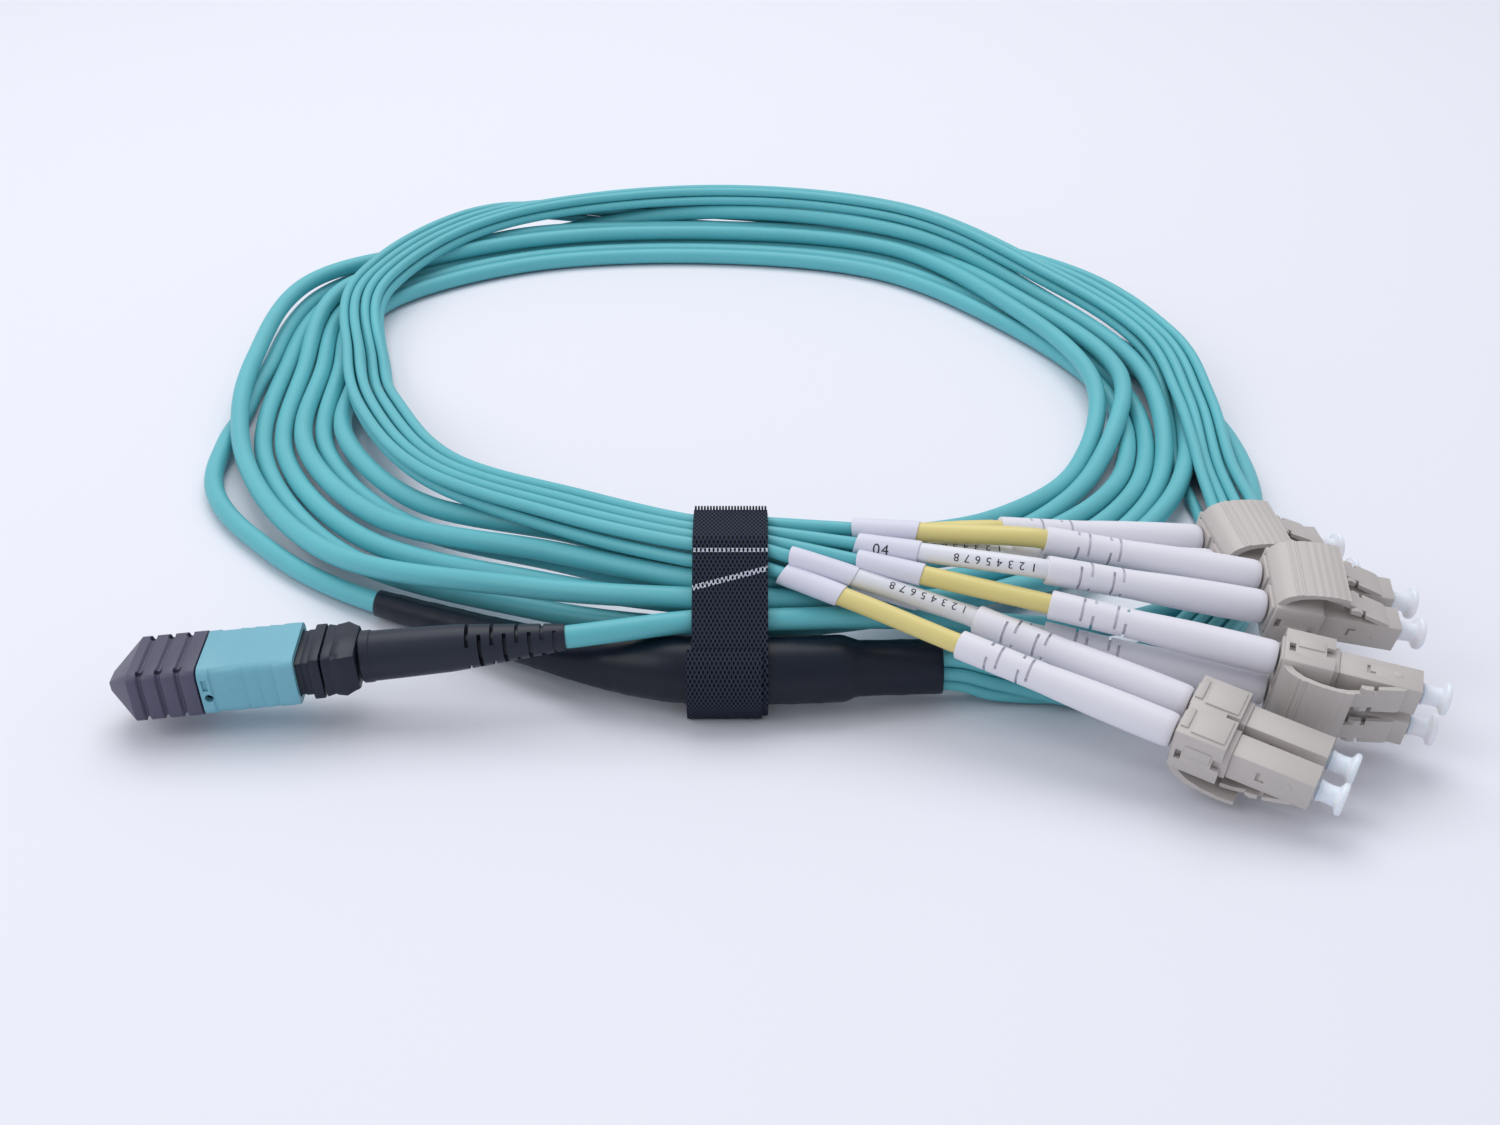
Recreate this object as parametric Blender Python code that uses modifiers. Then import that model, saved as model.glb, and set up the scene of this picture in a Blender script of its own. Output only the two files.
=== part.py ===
"""Fibre breakout cable: one multi-fibre plug to eight single-fibre plugs in four duplex
pairs, coiled and tied with a hook-and-loop strap.

Run with: blender --background --python part.py
Units are metres, +Z is up. The origin is on the flat underside of the strap, under the
middle of the fan-out sleeve. The cable's ends point to -X (multi-fibre plug) and to +X
(single-fibre plugs), and the coil lies towards +Y.
"""
import bmesh
import bpy
from math import atan2, ceil, cos, pi, radians, sin
from mathutils import Matrix, Vector

MM = 0.001
GAP = 0.3 * MM               # clearance between touching pieces

# Cable sizes
TRUNK_D = 3.4 * MM
LEG_D = 2.0 * MM
TUBE_STEP = 2.6              # spacing of a tube's points, in diameters

# Marker sleeve shrunk over the end of each leg
MARKER_LENGTH = 19.0 * MM
MARKER_D = 2.9 * MM
MARKER_WALL = 0.25 * MM

# Single-fibre plug, along its own +X from the back of its housing
BOOT_LENGTH = 32.0 * MM
BOOT_REAR_D = 4.2 * MM
BOOT_FRONT_D = 5.0 * MM
BOOT_COLLAR = 9.0 * MM       # straight rear part, which carries the slots
HOUSING_LENGTH = 19.6 * MM
HOUSING_WIDTH = 4.52 * MM    # square front that enters the socket
SHANK_LENGTH = 8.2 * MM      # thicker rear part, which the duplex clip holds
SHANK_WIDTH = 5.0 * MM
LATCH_WIDTH = 2.6 * MM
LATCH_ROOT = 2.2 * MM        # distance of the latch's root from the front face
LATCH_REACH = 11.7 * MM      # from the front face back to the latch's free end
LATCH_RISE = 2.9 * MM        # height of the free end over the housing
LATCH_THICK = 0.75 * MM
SHOULDER_WIDTH = 4.2 * MM    # catch on the latch
POCKET_D = 3.3 * MM          # round recess in the front, with the ferrule in it
POCKET_DEPTH = 7.0 * MM
FERRULE_D = 1.25 * MM
FERRULE_LENGTH = 6.0 * MM

# Dust cap of a single-fibre plug
CAP_STEM_D = 2.6 * MM
CAP_NECK_D = 3.1 * MM
CAP_NECK_LENGTH = 2.9 * MM
CAP_FLANGE_D = 4.6 * MM
CAP_FLANGE_LENGTH = 0.9 * MM
CAP_BORE_D = 1.7 * MM

# Duplex clip, which holds two plugs side by side
PLUG_PITCH = 6.25 * MM
CLIP_START = 0.6 * MM
CLIP_LENGTH = 6.8 * MM
CLIP_WALL = 0.6 * MM
TRIGGER_LENGTH = 9.9 * MM
TRIGGER_HEIGHT = 6.5 * MM    # above the plugs' axes
TRIGGER_THICK = 0.75 * MM
TRIGGER_WIDTH = 11.4 * MM

# Multi-fibre plug, along its own +X from the thin end of its boot
MPO_BOOT_LENGTH = 29.5 * MM
MPO_BOOT_D = 7.6 * MM
MPO_BOOT_WAIST_D = 6.7 * MM  # where the slotted taper starts
MPO_BOOT_TAPER = 15.5 * MM
MPO_BOOT_TIP_D = 3.9 * MM
MPO_NUT_LENGTH = 4.6 * MM
MPO_NUT_SIZE = (10.6 * MM, 7.0 * MM)
MPO_NUT_CHAMFER = 1.3 * MM
MPO_FLANGE_LENGTH = 1.5 * MM
MPO_SLEEVE_TRAVEL = 1.7 * MM
MPO_SLEEVE_LENGTH = 13.6 * MM
MPO_SLEEVE_SIZE = (12.4 * MM, 7.7 * MM)
MPO_SLEEVE_CHAMFER = 0.9 * MM
MPO_CORE_SIZE = (9.4 * MM, 5.4 * MM)
MPO_CORE_REACH = 6.6 * MM    # how far the core stands out of the sleeve
MPO_CAP_LENGTH = 9.6 * MM    # straight part of the dust cap
MPO_CAP_NOSE = 4.0 * MM
MPO_CAP_TIP = (3.2 * MM, 1.4 * MM)
MPO_CAP_GROOVES = (2.0 * MM, 4.7 * MM, 7.4 * MM)
MPO_GROOVE_WIDTH = 0.9 * MM
MPO_GROOVE_DEPTH = 0.45 * MM

# Where the plugs lie: origin in mm, then yaw, pitch and roll in degrees
MPO_PLACE = ((-23.7, 0.3, 12.0), 182.8, -4.8, 0)
PAIR_PLACES = {
    "a": ((72.0, 18.8, 15.6), 9, -8, 8),
    "b": ((77.0, 4.8, 16.9), -2, -10, 14),
    "c": ((76.0, -8.6, 11.4), -15, -7, 102),
    "d": ((62.0, -17.4, 10.0), -27, -9, 188),
}
# Each leg: pair, side of the pair, place in the strap (y, z) and a point on its way, in mm
LEGS = {
    1: ("a", 0.5, (17.0, 19.1), (22.0, 17.4, 19.6)),
    2: ("a", -0.5, (14.6, 19.1), (22.0, 13.6, 18.2)),
    3: ("b", 0.5, (18.0, 21.3), (24.0, 14.9, 23.0)),
    4: ("b", -0.5, (15.6, 21.3), (24.0, 11.4, 22.6)),
    5: ("c", 0.5, (13.2, 21.3), (24.0, 7.9, 21.2)),
    6: ("c", -0.5, (12.2, 19.1), (22.0, 9.6, 17.2)),
    7: ("d", 0.5, (9.8, 19.1), (18.0, 4.6, 17.2)),
    8: ("d", -0.5, (10.8, 21.3), (18.0, 6.6, 20.0)),
}
LEG_START = 7.6              # x in mm where the legs part from the bundle

# Coil, measured between the middles of its sides. The routes keep their place up to
# COIL_NEAR from the strap, and follow these two sizes beyond it.
COIL_WIDTH = 164.6 * MM
COIL_DEPTH = 181.7 * MM      # from the strap to the middle of the far side
COIL_NEAR = 30.0 * MM

# Route of the trunk between the multi-fibre plug and the coil, in mm
LEAD_ROUTE = [
    (-22.9, 0.4, 12.1), (-19.0, 0.6, 12.5), (-14.0, 1.2, 12.9), (-8.0, 2.2, 13.2),
    (-2.0, 2.9, 13.3), (4.0, 3.2, 13.3), (10.0, 3.6, 13.2), (17.0, 4.6, 12.8),
    (25.0, 6.2, 11.7), (33.0, 8.0, 10.2), (41.0, 9.8, 8.8), (49.0, 11.6, 7.8),
    (57.0, 13.4, 7.3), (65.0, 15.8, 7.3), (72.6, 19.8, 7.3), (79.4, 25.6, 7.2),
    (85.4, 33.2, 6.2), (90.0, 42.2, 3.6), (92.2, 52.2, 1.9), (93.2, 63.6, 1.8),
    (93.4, 75.6, 1.8), (92.8, 88.0, 1.8), (91.0, 100.0, 1.8),
]
# Route of the trunk between the coil and the fan-out sleeve, in mm
TAIL_ROUTE = [
    (-95.5, 86.6, 1.75), (-95.1, 80.6, 1.75), (-94.0, 74.0, 1.75),
    (-92.4, 67.0, 1.75), (-89.4, 60.2, 1.75), (-85.2, 53.6, 1.75), (-80.2, 47.4, 1.8),
    (-74.8, 41.2, 1.8), (-69.0, 35.6, 1.9), (-63.0, 30.6, 2.2), (-56.8, 26.2, 2.6),
]
# Fan-out sleeve: route and radius, in mm
FANOUT_ROUTE = [
    (-56.2, 25.8, 2.6, 2.15), (-50.2, 22.0, 3.1, 2.3), (-43.0, 17.6, 3.7, 2.5),
    (-36.0, 13.3, 4.2, 2.8), (-29.0, 9.2, 4.7, 3.2), (-22.0, 5.6, 5.2, 3.8),
    (-15.0, 2.7, 5.8, 4.5), (-9.0, 0.9, 6.3, 4.95), (-3.0, 0.1, 6.5, 5.0),
    (4.0, 0.0, 6.5, 5.0), (11.0, 0.3, 6.4, 5.0), (16.6, 0.8, 6.3, 4.95),
    (17.8, 0.9, 6.3, 4.6), (18.6, 1.0, 6.2, 4.1), (24.0, 1.7, 5.9, 4.1),
    (31.0, 2.8, 5.4, 4.1),
]
# Coil of the trunk: centre x, y, z, half width, half height in mm and tilt in degrees
COIL_STATIONS = [
    (0.0, 9.6, 13.4, 5.0, 3.4, 46), (-28.0, 20.5, 10.8, 7.6, 3.6, 38),
    (-57.8, 42.6, 7.0, 9.6, 3.1, 20), (-79.8, 78.0, 3.6, 10.8, 2.9, 6),
    (-87.2, 117.0, 3.0, 11.4, 2.8, 0), (-83.8, 158.0, 3.3, 10.4, 3.1, 0),
    (-52.4, 186.6, 3.5, 9.4, 3.3, 0), (-8.0, 191.3, 4.6, 7.2, 4.4, 0),
    (34.0, 179.6, 4.6, 7.2, 4.4, 0), (62.6, 147.6, 3.7, 8.0, 3.5, 0),
    (77.4, 109.0, 3.4, 8.6, 3.2, 0), (71.0, 71.8, 2.5, 10.3, 2.3, 2),
    (51.4, 42.8, 4.2, 10.8, 2.8, 11), (26.0, 22.5, 9.0, 8.4, 3.4, 28),
]
# Bundle of the eight legs: the same values, from the fan-out sleeve once round the coil
LEG_STATIONS = [
    (32.0, 2.9, 5.3, 3.7, 3.3, 0), (40.0, 2.7, 4.4, 3.9, 2.9, 0),
    (53.0, 4.4, 3.2, 4.1, 2.6, 0), (67.0, 10.6, 2.8, 4.2, 2.5, 0),
    (78.8, 26.0, 2.7, 4.2, 2.4, 0), (84.8, 47.0, 2.7, 4.0, 2.4, 0),
    (86.9, 72.0, 2.8, 3.9, 2.4, 0), (89.1, 97.0, 6.3, 4.0, 2.2, 0),
    (84.4, 124.0, 9.0, 4.2, 2.1, 0), (69.8, 152.0, 9.7, 4.3, 2.0, 0),
    (39.6, 187.6, 9.3, 3.4, 4.4, 0), (-8.0, 201.0, 9.6, 3.1, 4.5, 0),
    (-54.8, 191.8, 9.7, 4.2, 2.2, 0), (-77.6, 155.0, 8.9, 4.4, 2.1, 0),
    (-70.4, 117.6, 4.6, 4.0, 2.8, 0), (-64.0, 84.4, 7.8, 4.4, 2.3, 3),
    (-49.0, 50.6, 13.6, 4.5, 2.3, 10), (-35.4, 35.8, 17.5, 4.6, 2.4, 16),
    (-18.0, 22.8, 20.4, 5.0, 2.5, 10), (-7.0, 16.2, 20.6, 5.6, 2.5, 5),
    (0.0, 14.2, 20.3, 5.6, 2.5, 5), (6.6, 14.0, 20.2, 5.6, 2.5, 5),
]

# Hook-and-loop strap
STRAP_WIDTH = 11.0 * MM
STRAP_THICK = 1.2 * MM
STRAP_FLAT = 5.2 * MM        # flat of the underside, across the cable

COLOURS = {
    "aqua_jacket": ((0.11, 0.50, 0.53), 0.50),
    "aqua_plastic": ((0.18, 0.50, 0.60), 0.42),
    "grey_cap_plastic": ((0.075, 0.070, 0.120), 0.50),
    "black_plastic": ((0.022, 0.029, 0.050), 0.42),
    "heat_shrink": ((0.010, 0.017, 0.030), 0.45),
    "strap_weave": ((0.010, 0.012, 0.018), 0.75),
    "white_boot": ((0.78, 0.77, 0.83), 0.55),
    "beige_plastic": ((0.53, 0.49, 0.46), 0.50),
    "white_cap": ((0.85, 0.87, 0.92), 0.35),
    "yellow_sleeve": ((0.76, 0.65, 0.24), 0.50),
    "white_sleeve": ((0.80, 0.81, 0.86), 0.50),
}


def clear_scene():
    for obj in list(bpy.data.objects):
        bpy.data.objects.remove(obj, do_unlink=True)


def new_collection(name):
    collection = bpy.data.collections.new(name)
    bpy.context.scene.collection.children.link(collection)
    return collection


def make_materials():
    made = {}
    for name, (colour, roughness) in COLOURS.items():
        material = bpy.data.materials.new(name)
        material.use_nodes = True
        shader = material.node_tree.nodes["Principled BSDF"]
        shader.inputs["Base Color"].default_value = (*colour, 1.0)
        shader.inputs["Roughness"].default_value = roughness
        shader.inputs["Metallic"].default_value = 0.0
        made[name] = material
    return made


def add_object(name, data, collection, material=None, parent=None):
    obj = bpy.data.objects.new(name, data)
    collection.objects.link(obj)
    if material and not data.materials:
        data.materials.append(material)
    obj.parent = parent
    return obj


def shade_round(mesh, angle=35):
    mesh.shade_smooth()
    mesh.set_sharp_from_angle(angle=radians(angle))


def in_mm(point):
    return Vector(point) * MM


def smooth_route(points, step, closed=False):
    """Points a given step apart on a Catmull-Rom curve through rows of numbers."""
    rows = [Vector(p) for p in points]
    count = len(rows)
    fine = []
    for i in range(count if closed else count - 1):
        if closed:
            p0, p1, p2, p3 = (rows[(i + k) % count] for k in (-1, 0, 1, 2))
        else:
            p1, p2 = rows[i], rows[i + 1]
            p0 = rows[i - 1] if i else 2 * p1 - p2
            p3 = rows[i + 2] if i + 2 < count else 2 * p2 - p1
        for k in range(24):
            t = k / 24
            fine.append(0.5 * (2 * p1 + (p2 - p0) * t + (2 * p0 - 5 * p1 + 4 * p2 - p3) * t ** 2
                               + (3 * p1 - p0 - 3 * p2 + p3) * t ** 3))
    fine.append(rows[0].copy() if closed else rows[-1].copy())
    lengths = [0.0]
    for before, after in zip(fine, fine[1:]):
        lengths.append(lengths[-1] + (after - before).length)
    spans = max(2, ceil(lengths[-1] / step))
    picked, i = [], 0
    for k in range(spans if closed else spans + 1):
        wanted = lengths[-1] * k / spans
        while i < len(fine) - 2 and lengths[i + 1] < wanted:
            i += 1
        share = (wanted - lengths[i]) / (lengths[i + 1] - lengths[i])
        picked.append(fine[i].lerp(fine[i + 1], share))
    return picked


def spread(row):
    """A row of a route in mm, moved with the coil's width and depth."""
    x_values = [station[0] for station in COIL_STATIONS]
    y_values = [station[1] for station in COIL_STATIONS]
    near = COIL_NEAR / MM
    free = max(y_values) - near
    wide = COIL_WIDTH / MM / (max(x_values) - min(x_values))
    deep = (COIL_DEPTH / MM + min(y_values) - near) / free
    beyond = max(0.0, row[1] - near)
    share = min(1.0, beyond / free * 3)
    share = share * share * (3 - 2 * share)
    return (row[0] * (1 + (wide - 1) * share), row[1] + beyond * (deep - 1), *row[2:])


def tube_curve(name, points, diameter, radii=None, caps=True):
    """A POLY curve with a round bevel along points in metres."""
    curve = bpy.data.curves.new(name, "CURVE")
    curve.dimensions = "3D"
    curve.bevel_depth = diameter / 2
    curve.bevel_resolution = 2
    curve.use_fill_caps = caps
    spline = curve.splines.new("POLY")
    spline.points.add(len(points) - 1)
    for i, point in enumerate(points):
        spline.points[i].co = (*point, 1.0)
        spline.points[i].radius = radii[i] if radii else 1.0
    return curve


def loft_mesh(name, rings, closed=False):
    """A skin through rings of equally many points; open lofts get end caps."""
    bm = bmesh.new()
    loops = [[bm.verts.new(p) for p in ring] for ring in rings]
    for before, after in zip(loops, loops[1:] + (loops[:1] if closed else [])):
        for i in range(len(before)):
            j = (i + 1) % len(before)
            bm.faces.new((before[i], before[j], after[j], after[i]))
    if not closed:
        bm.faces.new(loops[0])
        bm.faces.new(loops[-1])
    bmesh.ops.recalc_face_normals(bm, faces=bm.faces)
    mesh = bpy.data.meshes.new(name)
    bm.to_mesh(mesh)
    bm.free()
    return mesh


def bundle_rings(stations, step, closed=False, sides=12):
    """Oval sections in metres across a route given by stations in mm."""
    rows = smooth_route([spread(row) for row in stations], step, closed)
    count = len(rows)
    middle = Vector((0, COIL_DEPTH / MM * 0.6, 0))
    rings = []
    for i, row in enumerate(rows):
        ahead = rows[(i + 1) % count] if closed or i + 1 < count else row
        behind = rows[i - 1] if closed or i else row
        along = Vector((ahead - behind)[:3]).normalized()
        across = along.cross(Vector((0, 0, 1))).normalized()
        up = across.cross(along)
        # The tilt lifts the side that faces the middle of the coil, which is +Y at the strap.
        inward = across if across.dot(middle - Vector(row[:3])) > 0 else -across
        tilt = radians(row[5])
        wide = inward * cos(tilt) + up * sin(tilt)
        high = up * cos(tilt) - inward * sin(tilt)
        turn = 1 if wide.cross(high).dot(along) > 0 else -1
        centre = Vector(row[:3])
        ring = []
        for k in range(sides):
            angle = 2 * pi * (k + 0.5) / sides * turn
            ring.append((centre + wide * row[3] * cos(angle) + high * row[4] * sin(angle)) * MM)
        rings.append(ring)
    return rings


def plug_frame(place):
    """World matrix of a plug or pair: +X ahead, +Y to its side, +Z to its latch."""
    origin, yaw, pitch, roll = place
    yaw, pitch, roll = radians(yaw), radians(pitch), radians(roll)
    ahead = Vector((cos(pitch) * cos(yaw), cos(pitch) * sin(yaw), sin(pitch)))
    level = Vector((0, 0, 1)).cross(ahead).normalized()
    upright = ahead.cross(level)
    side = level * cos(roll) + upright * sin(roll)
    latch = upright * cos(roll) - level * sin(roll)
    turn = Matrix((ahead, side, latch)).transposed().to_4x4()
    return Matrix.Translation(in_mm(origin)) @ turn


def add_box(bm, low, high):
    """A box between two corners, from the cube primitive."""
    low, high = Vector(low), Vector(high)
    middle = Matrix.Translation((low + high) / 2)
    size = Matrix.Diagonal((*(high - low), 1.0))
    return bmesh.ops.create_cube(bm, size=1.0, matrix=middle @ size)["verts"]


def mesh_from(name, build):
    bm = bmesh.new()
    build(bm)
    bmesh.ops.recalc_face_normals(bm, faces=bm.faces)
    mesh = bpy.data.meshes.new(name)
    bm.to_mesh(mesh)
    bm.free()
    return mesh


def add_rod(bm, x_from, x_to, diameter, sides=16):
    """A closed cylinder along X."""
    lie = Matrix.Rotation(pi / 2, 4, "Y")
    middle = Matrix.Translation(((x_from + x_to) / 2, 0, 0))
    bmesh.ops.create_cone(bm, cap_ends=True, segments=sides, radius1=diameter / 2,
                          radius2=diameter / 2, depth=x_to - x_from, matrix=middle @ lie)


def add_profile(bm, outline, width):
    """An outline in x and z, made solid across y."""
    near = [bm.verts.new((x, -width / 2, z)) for x, z in outline]
    face = bm.faces.new(near)
    far = bmesh.ops.extrude_face_region(bm, geom=[face])["geom"]
    verts = [item for item in far if isinstance(item, bmesh.types.BMVert)]
    bmesh.ops.translate(bm, verts=verts, vec=(0, width, 0))


def boolean_mesh(name, base, steps, cutters):
    """Applies union and difference steps and returns the final mesh."""
    body = add_object(name + "_blank", base, cutters)
    helpers = [body]
    for i, (operation, mesh) in enumerate(steps):
        tool = add_object(f"{name}_tool_{i}", mesh, cutters)
        helpers.append(tool)
        modifier = body.modifiers.new(f"step_{i}", "BOOLEAN")
        modifier.operation = operation
        modifier.solver = "EXACT"
        modifier.object = tool
    bpy.context.view_layer.update()
    evaluated = body.evaluated_get(bpy.context.evaluated_depsgraph_get())
    mesh = bpy.data.meshes.new_from_object(evaluated)
    mesh.name = name
    for helper in helpers:
        bpy.data.objects.remove(helper, do_unlink=True)
    return mesh


def turned_mesh(name, profile, cutters, steps=16):
    """A profile of (x, radius) points turned about the X axis by a Screw modifier."""
    mesh = bpy.data.meshes.new(name + "_profile")
    verts = [(x, 0.0, radius) for x, radius in profile]
    mesh.from_pydata(verts, [(i, i + 1) for i in range(len(verts) - 1)], [])
    blank = add_object(name + "_blank", mesh, cutters)
    screw = blank.modifiers.new("turn", "SCREW")
    screw.axis = "X"
    screw.steps = screw.render_steps = steps
    screw.use_merge_vertices = True
    screw.merge_threshold = 0.000001
    bpy.context.view_layer.update()
    evaluated = blank.evaluated_get(bpy.context.evaluated_depsgraph_get())
    turned = bpy.data.meshes.new_from_object(evaluated)
    turned.name = name
    bpy.data.objects.remove(blank, do_unlink=True)
    bm = bmesh.new()
    bm.from_mesh(turned)
    bmesh.ops.remove_doubles(bm, verts=bm.verts, dist=0.000001)
    bmesh.ops.recalc_face_normals(bm, faces=bm.faces)
    bm.to_mesh(turned)
    bm.free()
    shade_round(turned)
    return turned


def housing_mesh(cutters):
    """Single-fibre plug housing with its latch, front recess and ferrule."""
    half_shank, half = SHANK_WIDTH / 2, HOUSING_WIDTH / 2
    front = HOUSING_LENGTH
    base = mesh_from("shank", lambda bm: add_box(
        bm, (GAP, -half_shank, -half_shank), (SHANK_LENGTH, half_shank, half_shank)))
    nose = mesh_from("nose", lambda bm: add_box(
        bm, (SHANK_LENGTH - MM, -half, -half), (front, half, half)))
    root, free = front - LATCH_ROOT, front - LATCH_REACH
    bend = (root * 0.45 + free * 0.55, half + LATCH_RISE * 0.68)
    outline = [
        (root, half - MM), (root, half), (root - 1.2 * MM, half + LATCH_RISE * 0.28),
        bend, (free, half + LATCH_RISE), (free, half + LATCH_RISE - LATCH_THICK),
        (bend[0], bend[1] - LATCH_THICK), (root - 2.4 * MM, half), (root - 2.4 * MM, half - MM),
    ]
    latch = mesh_from("latch", lambda bm: add_profile(bm, outline, LATCH_WIDTH))
    shoulder = mesh_from("shoulder", lambda bm: add_box(
        bm, (bend[0] - 0.9 * MM, -SHOULDER_WIDTH / 2, bend[1] - LATCH_THICK * 1.1),
        (bend[0] + 0.9 * MM, SHOULDER_WIDTH / 2, bend[1] - LATCH_THICK * 0.1)))
    recess = mesh_from("recess", lambda bm: add_rod(bm, front - POCKET_DEPTH, front + MM, POCKET_D))
    ferrule = mesh_from("ferrule", lambda bm: add_rod(
        bm, front - POCKET_DEPTH - MM, front - POCKET_DEPTH + FERRULE_LENGTH, FERRULE_D, 12))
    return boolean_mesh("plug_housing", base, [
        ("UNION", nose), ("UNION", latch), ("UNION", shoulder),
        ("DIFFERENCE", recess), ("UNION", ferrule)], cutters)


def cap_mesh(cutters):
    """Dust cap of a single-fibre plug: a stem over the ferrule, a neck and a flange."""
    inner_end = HOUSING_LENGTH - POCKET_DEPTH + GAP
    face = HOUSING_LENGTH + GAP
    neck_end = face + CAP_NECK_LENGTH
    tip = neck_end + CAP_FLANGE_LENGTH
    bore_end = face + 0.5 * MM
    stem, neck, flange, bore = (d / 2 for d in (CAP_STEM_D, CAP_NECK_D, CAP_FLANGE_D, CAP_BORE_D))
    waist = neck * 0.86
    profile = [
        (bore_end, 0), (bore_end, bore), (inner_end, bore), (inner_end, stem), (face, stem),
        (face, neck), (face + 0.5 * MM, waist), (neck_end, waist), (neck_end, flange),
        (tip, flange), (tip, 0),
    ]
    return turned_mesh("plug_cap", profile, cutters)


def boot_mesh(cutters):
    """Strain-relief boot of a single-fibre plug, ending at the housing."""
    rear, front = BOOT_REAR_D / 2, BOOT_FRONT_D / 2
    start = -BOOT_LENGTH
    profile = [
        (start, 0), (start, rear - 0.15 * MM), (start + 0.2 * MM, rear),
        (start + BOOT_COLLAR, rear + 0.03 * MM), (start + BOOT_COLLAR + 6 * MM, rear + 0.18 * MM),
        (-4.0 * MM, front), (-0.5 * MM, front), (0, front - 0.3 * MM), (0, 0),
    ]
    return turned_mesh("plug_boot", profile, cutters)


def clip_mesh(cutters):
    """Duplex clip: a block round both plugs with a trigger arched over their latches."""
    hole = SHANK_WIDTH / 2 + GAP
    half_width = PLUG_PITCH / 2 + hole + CLIP_WALL
    half_height = hole + CLIP_WALL
    start, end = CLIP_START, CLIP_START + CLIP_LENGTH
    base = mesh_from("clip_block", lambda bm: add_box(
        bm, (start, -half_width, -half_height), (end, half_width, half_height)))
    top, thick = TRIGGER_HEIGHT, TRIGGER_THICK
    tip = start + TRIGGER_LENGTH
    outer = [(start, half_height - thick)]
    outer += [(start + 0.7 * MM, top * 0.72), (start + 2.7 * MM, top * 0.88)]
    outer += [(start + 5.3 * MM, top * 0.97), (start + 7.9 * MM, top), (tip, top * 0.97)]
    inner = [(tip, top * 0.97 - thick), (start + 7.9 * MM, top - thick)]
    inner += [(start + 5.3 * MM, top * 0.97 - thick), (start + 3.2 * MM, top * 0.88 - thick)]
    inner += [(start + 1.6 * MM, half_height), (start + 1.6 * MM, half_height - thick)]
    trigger = mesh_from("trigger", lambda bm: add_profile(bm, outer + inner, TRIGGER_WIDTH))
    steps = [("UNION", trigger)]
    for side in (-0.5, 0.5):
        middle = side * PLUG_PITCH
        hole_mesh = mesh_from("clip_hole", lambda bm, y=middle: add_box(
            bm, (start - MM, y - hole, -hole), (end + MM, y + hole, hole)))
        steps.append(("DIFFERENCE", hole_mesh))
    return boolean_mesh("duplex_clip", base, steps, cutters)


def block_ring(x, size, chamfer):
    """Eight corners of a chamfered rectangle across the X axis."""
    half_y, half_z = size[0] / 2, size[1] / 2
    c = chamfer
    return [Vector((x, y, z)) for y, z in (
        (half_y, -half_z + c), (half_y, half_z - c), (half_y - c, half_z), (-half_y + c, half_z),
        (-half_y, half_z - c), (-half_y, -half_z + c), (-half_y + c, -half_z), (half_y - c, -half_z))]


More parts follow.
